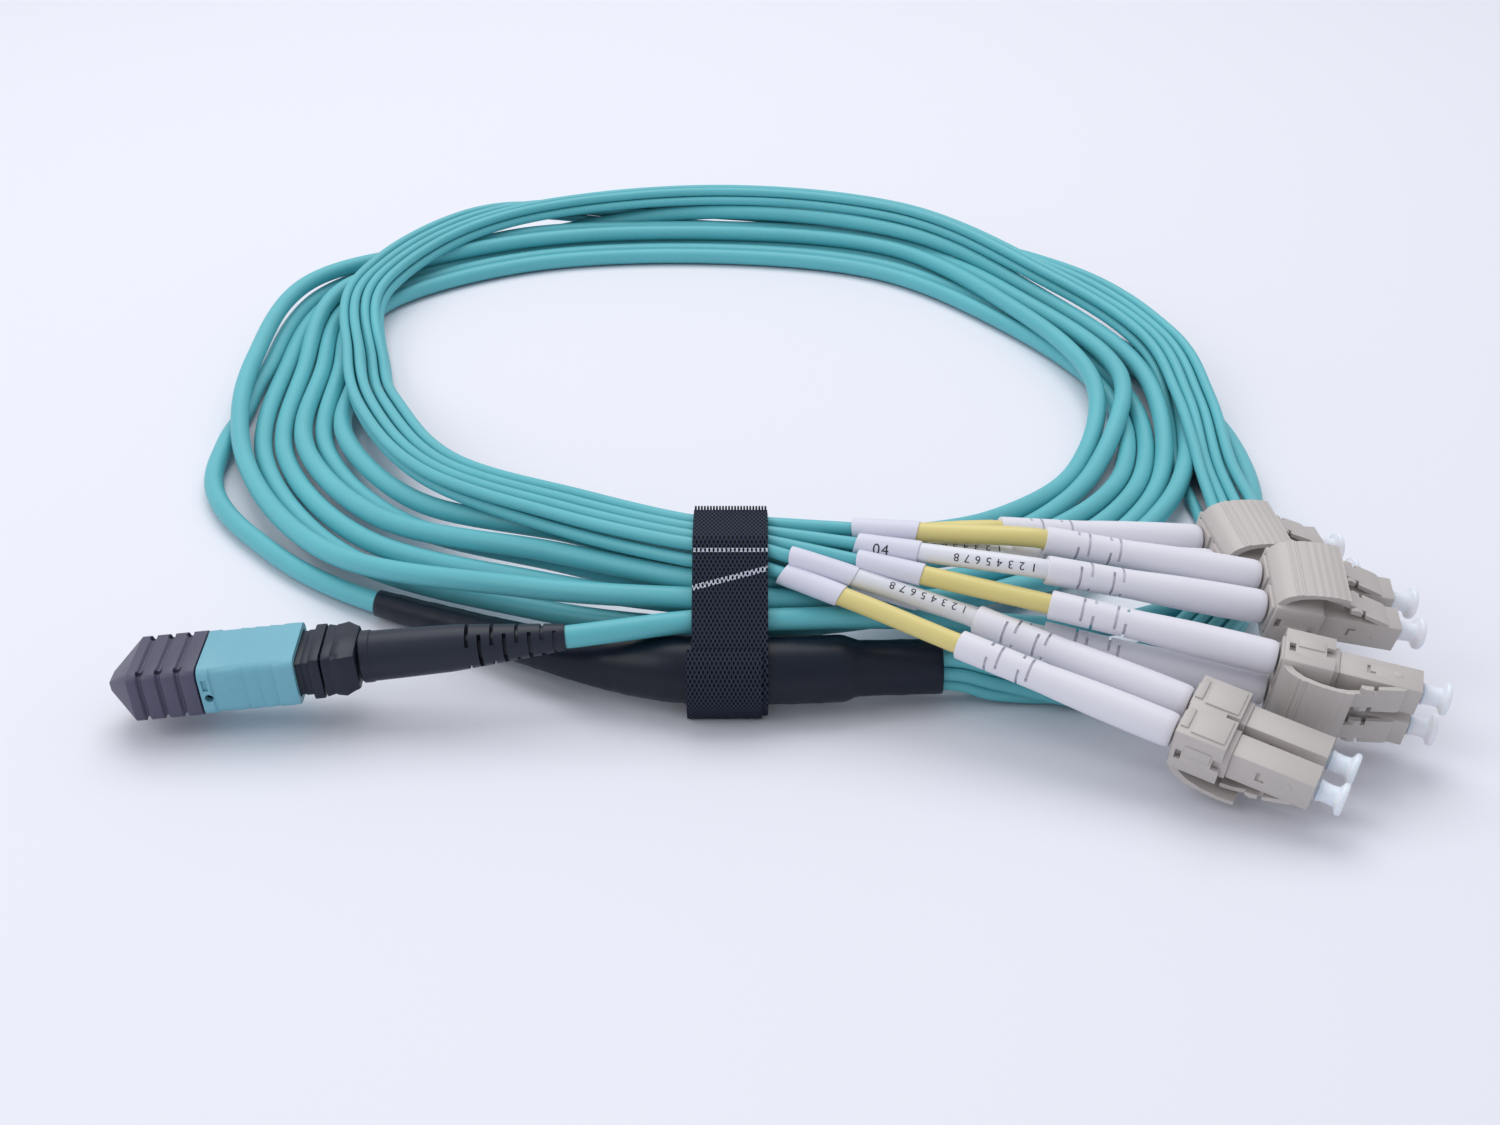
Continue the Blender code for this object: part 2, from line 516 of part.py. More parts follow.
def multi_fibre_plug(parts, cutters, materials):
    """Boot, crimp nut, body, coupling sleeve and dust cap of the multi-fibre plug."""
    frame = bpy.data.objects.new("mpo_axis", None)
    parts.objects.link(frame)
    frame.matrix_world = plug_frame(MPO_PLACE)
    boot_r, waist_r, tip_r = MPO_BOOT_D / 2, MPO_BOOT_WAIST_D / 2, MPO_BOOT_TIP_D / 2
    profile = [
        (0, 0), (0, tip_r - 0.2 * MM), (0.3 * MM, tip_r), (MPO_BOOT_TAPER, waist_r),
        (MPO_BOOT_LENGTH - 1.6 * MM, boot_r - 0.2 * MM), (MPO_BOOT_LENGTH - 1.4 * MM, boot_r),
        (MPO_BOOT_LENGTH, boot_r), (MPO_BOOT_LENGTH, 0),
    ]
    boot = turned_mesh("mpo_boot", profile, cutters, steps=20)
    add_object("mpo_boot", boot, parts, materials["black_plastic"], frame)

    nut_from = MPO_BOOT_LENGTH + GAP
    nut_to = nut_from + MPO_NUT_LENGTH
    neck = (MPO_NUT_SIZE[0] * 0.84, MPO_NUT_SIZE[1] * 0.96)
    nut = loft_mesh("mpo_crimp_nut", [
        block_ring(nut_from, neck, MPO_NUT_CHAMFER * 1.3),
        block_ring(nut_from + 1.7 * MM, MPO_NUT_SIZE, MPO_NUT_CHAMFER),
        block_ring(nut_to, MPO_NUT_SIZE, MPO_NUT_CHAMFER)])
    add_object("mpo_crimp_nut", nut, parts, materials["black_plastic"], frame)

    body_from = nut_to + GAP
    flange_to = body_from + MPO_FLANGE_LENGTH
    sleeve_from = flange_to + MPO_SLEEVE_TRAVEL + GAP
    sleeve_to = sleeve_from + MPO_SLEEVE_LENGTH
    core_to = sleeve_to + MPO_CORE_REACH
    flange_chamfer, core_chamfer = 1.0 * MM, 0.5 * MM
    body = loft_mesh("mpo_body", [
        block_ring(body_from, MPO_NUT_SIZE, flange_chamfer),
        block_ring(flange_to, MPO_NUT_SIZE, flange_chamfer),
        block_ring(flange_to, MPO_CORE_SIZE, core_chamfer),
        block_ring(core_to, MPO_CORE_SIZE, core_chamfer)])
    add_object("mpo_body", body, parts, materials["black_plastic"], frame)

    clear_core = tuple(size + 2 * GAP for size in MPO_CORE_SIZE)
    outside = loft_mesh("sleeve_outside", [
        block_ring(sleeve_from, MPO_SLEEVE_SIZE, MPO_SLEEVE_CHAMFER),
        block_ring(sleeve_to, MPO_SLEEVE_SIZE, MPO_SLEEVE_CHAMFER)])
    through = loft_mesh("sleeve_bore", [
        block_ring(sleeve_from - MM, clear_core, core_chamfer),
        block_ring(sleeve_to + MM, clear_core, core_chamfer)])
    sleeve = boolean_mesh("mpo_sleeve", outside, [("DIFFERENCE", through)], cutters)
    add_object("mpo_sleeve", sleeve, parts, materials["aqua_plastic"], frame)

    cap_from = sleeve_to + GAP
    cap_to = cap_from + MPO_CAP_LENGTH
    waist = tuple(size - 2 * MPO_GROOVE_DEPTH for size in MPO_SLEEVE_SIZE)
    rings = [block_ring(cap_from, MPO_SLEEVE_SIZE, MPO_SLEEVE_CHAMFER)]
    for place in MPO_CAP_GROOVES:
        at = cap_from + place
        rings.append(block_ring(at, MPO_SLEEVE_SIZE, MPO_SLEEVE_CHAMFER))
        rings.append(block_ring(at, waist, MPO_SLEEVE_CHAMFER))
        rings.append(block_ring(at + MPO_GROOVE_WIDTH, waist, MPO_SLEEVE_CHAMFER))
        rings.append(block_ring(at + MPO_GROOVE_WIDTH, MPO_SLEEVE_SIZE, MPO_SLEEVE_CHAMFER))
    rings.append(block_ring(cap_to, MPO_SLEEVE_SIZE, MPO_SLEEVE_CHAMFER))
    rings.append(block_ring(cap_to + MPO_CAP_NOSE, MPO_CAP_TIP, MPO_CAP_TIP[1] * 0.3))
    solid_cap = loft_mesh("cap_outside", rings)
    pocket = loft_mesh("cap_pocket", [
        block_ring(cap_from - MM, clear_core, core_chamfer),
        block_ring(core_to + GAP, clear_core, core_chamfer)])
    cap = boolean_mesh("mpo_dust_cap", solid_cap, [("DIFFERENCE", pocket)], cutters)
    add_object("mpo_dust_cap", cap, parts, materials["grey_cap_plastic"], frame)


def leg_end(number):
    """Back of a leg's plug housing and the plug's direction, in world metres."""
    pair, side, _, _ = LEGS[number]
    frame = plug_frame(PAIR_PLACES[pair])
    return frame @ Vector((0, side * PLUG_PITCH, 0)), frame.to_3x3() @ Vector((1, 0, 0))


def single_fibre_plugs(parts, cutters, materials):
    """Four duplex pairs: two boots, housings and dust caps in a clip."""
    housing, cap = housing_mesh(cutters), cap_mesh(cutters)
    boot, clip = boot_mesh(cutters), clip_mesh(cutters)
    for pair, place in PAIR_PLACES.items():
        frame = bpy.data.objects.new(f"pair_axis_{pair}", None)
        parts.objects.link(frame)
        frame.matrix_world = plug_frame(place)
        add_object(f"duplex_clip_{pair}", clip, parts, materials["beige_plastic"], frame)
    for number, (pair, side, _, _) in LEGS.items():
        frame = bpy.data.objects[f"pair_axis_{pair}"]
        pieces = (("plug_boot", boot, "white_boot"), ("plug_housing", housing, "beige_plastic"),
                  ("plug_cap", cap, "white_cap"))
        for label, mesh, finish in pieces:
            piece = add_object(f"{label}_{number}", mesh, parts, materials[finish], frame)
            piece.location = (0, side * PLUG_PITCH, 0)


def leg_points(number):
    """Route of a leg from the strap to its boot, in world metres."""
    _, _, (y, z), way = LEGS[number]
    back, ahead = leg_end(number)
    boot_end = back - ahead * (BOOT_LENGTH + GAP)
    route = [in_mm((LEG_START, y, z)), in_mm((LEG_START + 4.5, y, z)), in_mm(way),
             boot_end - ahead * 3 * MM, boot_end]
    return smooth_route(route, LEG_D * TUBE_STEP)


def legs_and_markers(parts, cutters, materials):
    """Each leg's free end with the marker sleeve shrunk over it."""
    for number in LEGS:
        points = leg_points(number)
        leg = tube_curve(f"leg_{number}", points, LEG_D)
        add_object(f"leg_{number}", leg, parts, materials["aqua_jacket"])
        fine = smooth_route(points, 0.5 * MM)
        covered = [p for i, p in enumerate(fine) if (len(fine) - 1 - i) * 0.5 * MM <= MARKER_LENGTH]
        marker_route = smooth_route(covered, MARKER_D * TUBE_STEP / 2)
        skin = tube_curve(f"marker_{number}", marker_route, MARKER_D, caps=False)
        blank = add_object(f"marker_blank_{number}", skin, cutters)
        bpy.context.view_layer.update()
        evaluated = blank.evaluated_get(bpy.context.evaluated_depsgraph_get())
        mesh = bpy.data.meshes.new_from_object(evaluated)
        mesh.name = f"marker_sleeve_{number}"
        bpy.data.objects.remove(blank, do_unlink=True)
        finish = "yellow_sleeve" if number % 2 else "white_sleeve"
        marker = add_object(f"marker_sleeve_{number}", mesh, parts, materials[finish])
        wall = marker.modifiers.new("wall", "SOLIDIFY")
        wall.thickness = MARKER_WALL
        wall.offset = -1.0


def cable_runs(parts, materials):
    """The trunk's lead, coil and tail, the fan-out sleeve and the bundle of legs."""
    jacket = materials["aqua_jacket"]
    for name, route in (("trunk_lead", LEAD_ROUTE), ("trunk_tail", TAIL_ROUTE)):
        points = smooth_route([in_mm(spread(p)) for p in route], TRUNK_D * TUBE_STEP)
        add_object(name, tube_curve(name, points, TRUNK_D), parts, jacket)
    coil = loft_mesh("trunk_coil", bundle_rings(COIL_STATIONS, 7.5, closed=True), closed=True)
    add_object("trunk_coil", coil, parts, jacket)
    legs = loft_mesh("leg_coil", bundle_rings(LEG_STATIONS, 7.5))
    add_object("leg_coil", legs, parts, jacket)
    rows = smooth_route(FANOUT_ROUTE, 2.2)
    radii = [row[3] for row in rows]
    sleeve = tube_curve("fanout_sleeve", [in_mm(row[:3]) for row in rows], 2 * MM, radii)
    sleeve.bevel_resolution = 4
    add_object("fanout_sleeve", sleeve, parts, materials["heat_shrink"])


def hull_of(points):
    """Corners of the smallest convex outline round (y, z) points, counter-clockwise."""
    points = sorted(set(points))

    def chain(items):
        kept = []
        for p in items:
            while len(kept) > 1:
                (ay, az), (by, bz) = kept[-2], kept[-1]
                if (by - ay) * (p[1] - az) - (bz - az) * (p[0] - ay) > 1e-6:
                    break
                kept.pop()
            kept.append(p)
        return kept[:-1]
    return chain(points) + chain(points[::-1])


def strap_loops():
    """Inner and outer outline of the strap in mm, taut round all that it ties."""
    fan_y, fan_z, fan_r = 0.0, 6.5, 5.0
    clear = GAP / MM
    around = []
    for k in range(24):
        angle = 2 * pi * k / 24
        around.append((fan_y + (fan_r + clear) * cos(angle), fan_z + (fan_r + clear) * sin(angle)))
    tied = smooth_route(COIL_STATIONS, 1.5, closed=True) + smooth_route(LEG_STATIONS, 1.5)
    for x, y, z, half_y, half_z, tilt in tied:
        if abs(x) > STRAP_WIDTH / MM / 2 + 1.5 or y > 50:
            continue
        for k in range(24):
            angle, lean = 2 * pi * k / 24, radians(tilt)
            wide, high = (half_y + clear) * cos(angle), (half_z + clear) * sin(angle)
            around.append((y + wide * cos(lean) - high * sin(lean),
                           z + wide * sin(lean) + high * cos(lean)))
    lead_y, lead_z = 3.0, 13.3
    for k in range(12):
        angle = 2 * pi * k / 12
        reach = TRUNK_D / MM / 2 + clear
        around.append((lead_y + reach * cos(angle), lead_z + reach * sin(angle)))
    floor = STRAP_THICK / MM
    around += [(-STRAP_FLAT / MM / 2, floor), (STRAP_FLAT / MM / 2, floor)]
    inner = hull_of([(round(y, 4), round(z, 4)) for y, z in around])
    outer = []
    count = len(inner)
    for i, (y, z) in enumerate(inner):
        before, after = Vector(inner[i - 1]), Vector(inner[(i + 1) % count])
        here = Vector((y, z))
        out_1 = Vector((here.y - before.y, before.x - here.x)).normalized()
        out_2 = Vector((after.y - here.y, here.x - after.x)).normalized()
        mean = (out_1 + out_2).normalized()
        outer.append(here + mean * floor / max(0.5, mean.dot(out_1)))
    return inner, [tuple(p) for p in outer]


def strap(parts, materials):
    """The strap as a flat outline with a hole, made as wide as the strap."""
    curve = bpy.data.curves.new("strap", "CURVE")
    curve.dimensions = "2D"
    curve.fill_mode = "BOTH"
    curve.extrude = STRAP_WIDTH / 2
    for loop in strap_loops():
        spline = curve.splines.new("POLY")
        spline.points.add(len(loop) - 1)
        spline.use_cyclic_u = True
        for i, (y, z) in enumerate(loop):
            spline.points[i].co = (y * MM, z * MM, 0, 1)
    band = add_object("strap", curve, parts, materials["strap_weave"])
    band.matrix_world = Matrix(((0, 0, 1, 0), (1, 0, 0, 0), (0, 1, 0, 0), (0, 0, 0, 1)))


def main():
    clear_scene()
    parts = new_collection("fibre_breakout_cable")
    cutters = new_collection("cutters")
    materials = make_materials()
    multi_fibre_plug(parts, cutters, materials)
    single_fibre_plugs(parts, cutters, materials)
    legs_and_markers(parts, cutters, materials)
    cable_runs(parts, materials)
    strap(parts, materials)


main()
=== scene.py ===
"""Looks of the fibre breakout cable: the coiled cable, its plugs, boots, labels, sleeve and strap."""

import random
from math import ceil, cos, pi, radians, sin

import bmesh
import bpy
import numpy as np
from mathutils import Matrix, Vector


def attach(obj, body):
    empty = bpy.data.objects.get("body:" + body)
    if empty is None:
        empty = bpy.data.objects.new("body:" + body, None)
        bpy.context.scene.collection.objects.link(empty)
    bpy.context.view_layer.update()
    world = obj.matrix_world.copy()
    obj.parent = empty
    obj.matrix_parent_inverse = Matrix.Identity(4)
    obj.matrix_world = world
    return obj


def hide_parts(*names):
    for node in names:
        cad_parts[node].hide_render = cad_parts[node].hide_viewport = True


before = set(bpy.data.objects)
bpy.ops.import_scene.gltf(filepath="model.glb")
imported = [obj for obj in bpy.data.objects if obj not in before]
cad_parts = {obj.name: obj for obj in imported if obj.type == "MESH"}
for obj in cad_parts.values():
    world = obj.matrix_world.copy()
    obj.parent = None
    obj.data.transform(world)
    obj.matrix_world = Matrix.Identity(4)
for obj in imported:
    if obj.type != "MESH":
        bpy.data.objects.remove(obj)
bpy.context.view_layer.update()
MM = 0.001

# ---------------------------------------------------------------- sizes, in mm
TRUNK_D = 3.4
LEG_D = 2.0
MARKER_D = 2.9
MARKER_LENGTH = 19.0
NUMBER_TUBE_D = 3.4
NUMBER_TUBE_LENGTH = 9.6
PLUG_PITCH = 6.25
BOOT_LENGTH = 32.0
HOUSING_LENGTH = 19.6
LEG_IN_BOOT = 11.0             # how far a leg's route goes on inside its boot
MPO_SIZE = (12.4, 7.7)         # the multi-fibre plug's pull sleeve and dust cap, across and high
STRAP_WIDTH = 11.0
HOOK_LINES = (32.1, 26.3)      # up the front of the tape, from its lowest point
HOOK_LINE_SLOPE = 0.273        # of the second line
LAP_REACH = 17.0               # up the front, measured the same way
KNIT_PITCH = (0.62, 0.60)      # across and along the tape
STRAND_GAP = 0.03              # left between two strands
TABLE_GAP = 0.02               # left between a strand and the table
HELD_ENDS = 5                  # points at both ends of a route that stay where they are

# Plugs: origin, then yaw, pitch and roll in degrees
MPO_PLACE = ((-23.7, 0.3, 12.0), 182.8, -4.8, 0)
PAIR_PLACES = {
    "a": ((72.0, 18.8, 15.6), 9, -8, 8),
    "b": ((77.0, 4.8, 16.9), -2, -10, 14),
    "c": ((76.0, -8.6, 11.4), -15, -7, 102),
    "d": ((62.0, -17.4, 10.0), -27, -9, 188),
}
# Each leg: pair, side of the pair, place in the strap (y, z)
LEGS = {
    1: ("a", 0.5, (17.0, 19.1)), 2: ("a", -0.5, (14.6, 19.1)),
    3: ("b", 0.5, (18.0, 21.3)), 4: ("b", -0.5, (15.6, 21.3)),
    5: ("c", 0.5, (13.2, 21.3)), 6: ("c", -0.5, (12.2, 19.1)),
    7: ("d", 0.5, (9.8, 19.1)), 8: ("d", -0.5, (10.8, 21.3)),
}
# The coil is laid in turns 1 to 7 of the trunk and legs a to h. At each station a row has a
# height, the outward place of its outermost strand, the pitch and the strands from the outside in.
LEG_LETTER = {7: "a", 8: "b", 6: "c", 5: "d", 2: "e", 4: "f", 1: "g", 3: "h"}
STRAP_MIDDLE = (0.0, 9.6)
STRAP_SLOTS = [(3.0, 13.2), (6.2, 14.9), (9.6, 16.2), (13.0, 16.0), (9.0, 12.4), (12.5, 12.5), (7.6, 8.8)]
COIL = [
    ((26.0, 22.5), [((9.2, 5.8, 8.2, 10.8, 8.6, 11.6), 8.4, 3.4, "275364")]),
    ((51.0, 43.0), [((3.4, 2.2, 3.0, 4.4, 3.6, 5.2), 10.4, 3.9, "275364")]),
    ((70.5, 72.0), [(1.72, 10.8, 3.9, "275364")]),
    ((77.0, 109.0), [(1.72, 8.2, 0.0, "2"), (1.72, -0.4, 4.2, "53"), ((4.6, 4.5, 4.4), 4.4, 5.6, "764")]),
    ((65.0, 149.0), [(1.72, 3.4, 0.0, "1"), (1.72, -1.6, 3.7, "253"), (5.0, 1.0, 4.2, "764"),
                     (8.2, 8.6, 2.1, "aceg"), (10.2, 8.8, 2.1, "bdfh")]),
    ((36.0, 183.0), [(1.72, 1.8, 3.6, "1253"), (5.1, 1.6, 3.7, "64"), (8.3, 0.4, 3.4, "7"),
                     (4.4, 6.6, 2.1, "a"), (6.4, 7.0, 2.1, "b"), (6.4, 4.4, 2.1, "c"), (8.6, 5.4, 2.1, "d"),
                     (11.0, 3.6, 2.1, "eg"), (13.0, 4.4, 2.1, "fh")]),
    ((-8.0, 196.0), [(1.72, 0.4, 3.7, "1253"), (5.1, -0.2, 3.7, "64"), (8.3, 0.6, 3.4, "7"),
                     (2.0, 4.4, 2.1, "a"), (4.2, 4.4, 2.1, "b"), (6.4, 4.2, 2.1, "c"), (8.8, 4.2, 2.1, "d"),
                     (11.2, 2.6, 2.1, "eg"), (13.2, 3.4, 2.1, "fh")]),
    ((-52.0, 186.0), [(1.72, 7.4, 3.7, "71253"), (5.1, 3.4, 3.8, "64"), (8.4, 9.0, 2.1, "aceg"),
                      (10.4, 9.2, 2.1, "bdfh")]),
    ((-82.0, 157.0), [(1.72, 9.4, 3.8, "76253"), (5.0, 11.0, 3.6, "1"), (4.9, 3.6, 3.6, "4"),
                      (5.4, -0.4, 2.2, "aceg"), (7.4, 0.0, 2.2, "bdfh")]),
    ((-87.0, 117.0), [(1.72, 7.4, 3.7, "76425"), (4.7, 9.4, 3.6, "1"), (1.72, -11.2, 3.6, "3"),
                      (4.0, -9.6, 2.3, "ac"), (2.0, -14.2, 2.3, "eg"), (6.0, -9.4, 2.3, "bd"),
                      (4.0, -14.0, 2.3, "fh")]),
    ((-79.5, 78.0), [((3.4, 2.4, 2.8, 4.4, 3.2, 5.4), 9.8, 3.7, "164253"), (7.6, -12.6, 2.3, "aceg"),
                     (9.6, -12.4, 2.3, "bdfh")]),
    ((-57.0, 43.0), [((6.4, 4.2, 6.2, 8.8, 7.0, 9.6), 11.4, 3.5, "164253"), (13.0, -8.0, 2.1, "aceg"),
                     (14.8, -7.6, 2.1, "bdfh")]),
    ((-28.0, 20.5), [((12.4, 7.0, 10.2, 14.2, 10.8, 14.6), 7.4, 2.9, "164253"), (17.6, -2.6, 2.4, "aceg"),
                     (19.8, -3.0, 2.4, "bdfh")]),
]
LEAD_JOINS = 4       # the station from which the lead runs in the coil as turn 1
LEAD_ROUTE = [
    (-39.6, -0.5, 10.7), (-31.7, -0.1, 11.3), (-23.7, 0.3, 12.0),
    (-19.0, 0.6, 12.5), (-14.0, 1.2, 12.9), (-8.0, 2.2, 13.2), (-2.0, 3.0, 13.3),
    (4.0, 3.3, 13.3), (10.0, 3.7, 13.2), (17.0, 4.6, 12.8), (25.0, 6.2, 11.7), (33.0, 8.0, 10.0),
    (41.0, 9.8, 8.2), (49.0, 11.6, 6.4), (57.0, 14.0, 5.0), (65.0, 18.0, 4.2), (72.6, 24.0, 3.0),
    (79.0, 32.0, 2.2), (84.0, 41.6, 1.72), (87.8, 52.5, 1.72), (90.2, 64.0, 1.72), (91.2, 76.0, 1.72),
    (91.0, 88.0, 1.72), (89.0, 102.0, 1.8), (84.4, 120.0, 1.9),
]
TAIL_ROUTE = [
    (-94.2, 98.0, 1.8), (-94.8, 90.0, 1.72), (-94.6, 82.0, 1.72), (-94.0, 74.0, 1.72),
    (-92.4, 67.0, 1.75), (-89.4, 60.2, 1.75), (-85.2, 53.6, 1.75), (-80.2, 47.4, 1.8),
    (-74.8, 41.2, 1.8), (-69.0, 35.6, 1.9), (-63.0, 30.6, 2.2), (-56.4, 25.9, 2.6), (-50.2, 22.0, 3.1),
]
# The eight legs together, from the fan-out sleeve to the coil
LEG_GROUP = [
    ((26.0, 2.1), [(7.4, 1.2, 2.0, "bd"), (5.6, 2.0, 2.0, "afh"), (3.8, 1.4, 2.0, "ceg")]),
    ((33.0, 2.9), [(7.3, 1.5, 2.1, "bd"), (5.4, 2.2, 2.1, "afh"), (3.4, 1.8, 2.1, "ceg")]),
    ((40.0, 2.6), [(5.6, 1.6, 2.1, "bd"), (3.6, 2.2, 2.1, "afh"), (1.6, 1.8, 2.1, "ceg")]),
    ((53.0, 4.2), [(1.1, 4.4, 2.1, "aceg"), (3.0, 4.6, 2.1, "bdfh")]),
    ((67.0, 10.6), [(1.05, 3.4, 2.1, "aceg"), (3.0, 3.6, 2.1, "bdfh")]),
    ((78.6, 26.0), [(1.05, 3.2, 2.1, "aceg"), (3.0, 3.4, 2.1, "bdfh")]),
    ((84.6, 47.0), [(1.05, 2.8, 2.1, "aceg"), (3.0, 3.0, 2.1, "bdfh")]),
    ((86.4, 72.0), [(1.05, 2.4, 2.1, "aceg"), (3.2, 2.6, 2.1, "bdfh")]),
    ((88.2, 97.0), [(3.4, 2.2, 2.1, "aceg"), (5.4, 2.4, 2.1, "bdfh")]),
    ((85.6, 122.0), [(6.6, 2.2, 2.1, "aceg"), (8.6, 2.4, 2.1, "bdfh")]),
]
# Fan-out sleeve: route and radius
FANOUT_ROUTE = [
    (-56.2, 25.8, 2.6, 2.15), (-50.2, 22.0, 3.1, 2.3), (-43.0, 17.6, 3.7, 2.5),
    (-36.0, 13.3, 4.2, 2.8), (-29.0, 9.2, 4.7, 3.2), (-22.0, 5.6, 5.2, 3.8),
    (-15.0, 2.7, 5.8, 4.5), (-9.0, 0.9, 6.3, 4.95), (-3.0, 0.1, 6.5, 5.0),
    (4.0, 0.0, 6.5, 5.0), (11.0, 0.3, 6.4, 5.0), (15.4, 0.7, 6.35, 4.98), (16.8, 0.8, 6.3, 4.85),
    (17.7, 0.9, 6.3, 4.5), (18.4, 1.0, 6.2, 4.2), (19.4, 1.1, 6.15, 4.12), (24.0, 1.7, 5.9, 4.1),
    (31.2, 2.8, 5.4, 4.1),
]


# ---------------------------------------------------------------- routes
def smooth_rows(rows, steps):
    """Catmull-Rom rows, a number of steps for each gap between the given rows."""
    rows = [np.array(row, float) for row in rows]
    fine = []
    for i in range(len(rows) - 1):
        p1, p2 = rows[i], rows[i + 1]
        p0 = rows[i - 1] if i else 2 * p1 - p2
        p3 = rows[i + 2] if i + 2 < len(rows) else 2 * p2 - p1
        for k in range(steps):
            t = k / steps
            fine.append(0.5 * (2 * p1 + (p2 - p0) * t + (2 * p0 - 5 * p1 + 4 * p2 - p3) * t ** 2
                               + (3 * p1 - p0 - 3 * p2 + p3) * t ** 3))
    fine.append(rows[-1])
    return np.array(fine)


def along_of(rows):
    """The distance of every row from the first one, measured along them."""
    gaps = np.linalg.norm(np.diff(rows[:, :3], axis=0), axis=1)
    return np.concatenate(([0.0], np.cumsum(gaps)))


def even_rows(rows, step):
    """Rows resampled to an even spacing along their length."""
    rows = np.asarray(rows, float)
    along = along_of(rows)
    wanted = np.linspace(0.0, along[-1], max(3, int(ceil(along[-1] / step)) + 1))
    return np.stack([np.interp(wanted, along, rows[:, k]) for k in range(rows.shape[1])], axis=1)


def stretch_of(route, start, end):
    """The part of a route between two distances in mm, measured from its end backwards."""
    along = along_of(route)
    wanted = np.linspace(along[-1] - start, along[-1] - end, max(4, int(abs(start - end) / 1.2)))
    return np.stack([np.interp(wanted, along, route[:, k]) for k in range(3)], axis=1)


def plug_frame(place):
    """World matrix for millimetres of a plug or pair: +X ahead, +Y to its side, +Z to its latch."""
    origin, yaw, pitch, roll = place
    yaw, pitch, roll = radians(yaw), radians(pitch), radians(roll)
    ahead = Vector((cos(pitch) * cos(yaw), cos(pitch) * sin(yaw), sin(pitch)))
    level = Vector((0, 0, 1)).cross(ahead).normalized()
    upright = ahead.cross(level)
    side = level * cos(roll) + upright * sin(roll)
    latch = upright * cos(roll) - level * sin(roll)
    turn = Matrix((ahead, side, latch)).transposed().to_4x4()
    return Matrix.Translation(Vector(origin) * MM) @ turn @ Matrix.Scale(MM, 4)


def plug_in_pair(number):
    pair, side, _ = LEGS[number]
    return plug_frame(PAIR_PLACES[pair]) @ Matrix.Translation((0, side * PLUG_PITCH, 0))


def strand_places(stations, first=None):
    """For each station, where each strand goes in mm."""
    middles = ([first] if first else []) + [station[0] for station in stations]
    closed = first is not None
    places = []
    for i, (middle, rows) in enumerate(stations):
        j = i + len(middles) - len(stations)
        ahead = middles[(j + 1) % len(middles)] if closed else middles[min(j + 1, len(middles) - 1)]
        behind = middles[j - 1] if closed else middles[max(j - 1, 0)]
        way = Vector(ahead) - Vector(behind)
        outward = np.array((way.y, -way.x)) / way.length
        here = {}
        for height, outermost, pitch, strands in rows:
            for k, strand in enumerate(strands):
                z = height[k] if isinstance(height, tuple) else height
                x, y = np.array(middle) + outward * (outermost - k * pitch)
                here[strand] = np.array((x, y, z))
        places.append(here)
    return places


def trunk_route():
    """The trunk from inside the multi-fibre plug's boot, seven times round, into the fan-out."""
    places = strand_places(COIL, STRAP_MIDDLE)
    rows = [np.array(point, float) for point in LEAD_ROUTE]
    rows += [here["1"] for here in places[LEAD_JOINS:]]
    for turn in "234567":
        y, z = STRAP_SLOTS[int(turn) - 1]
        rows += [np.array((-5.5, y + 0.2, z)), np.array((5.5, y + 0.2, z))]
        rows += [here[turn] for here in places if turn in here]
    rows += [np.array(point, float) for point in TAIL_ROUTE]
    return even_rows(smooth_rows(rows, 12), 4.4)


def leg_route(number):
    """A leg from the fan-out sleeve once round the coil and into its boot."""
    letter = LEG_LETTER[number]
    rows = [here[letter] for here in strand_places(LEG_GROUP)]
    rows += [here[letter] for here in strand_places(COIL, STRAP_MIDDLE) if letter in here]
    y, z = LEGS[number][2]
    matrix = plug_in_pair(number)
    boot_rear = np.array(matrix @ Vector((-BOOT_LENGTH - 0.3, 0, 0))) / MM
    ahead = np.array((matrix.to_3x3() @ Vector((1, 0, 0))).normalized())
    lean = (boot_rear[1] - y) / (boot_rear[0] - 5.0)
    rows += [np.array((-6.0, y + 0.5, z)), np.array((3.0, y + 0.15 + lean * 1.2, z))]
    rows += [boot_rear * 0.45 + np.array((5.5, y + lean * 2, z)) * 0.55,
             boot_rear - ahead * 3.0, boot_rear + ahead * 1.0, boot_rear + ahead * LEG_IN_BOOT]
    return even_rows(smooth_rows(rows, 10), 4.0)


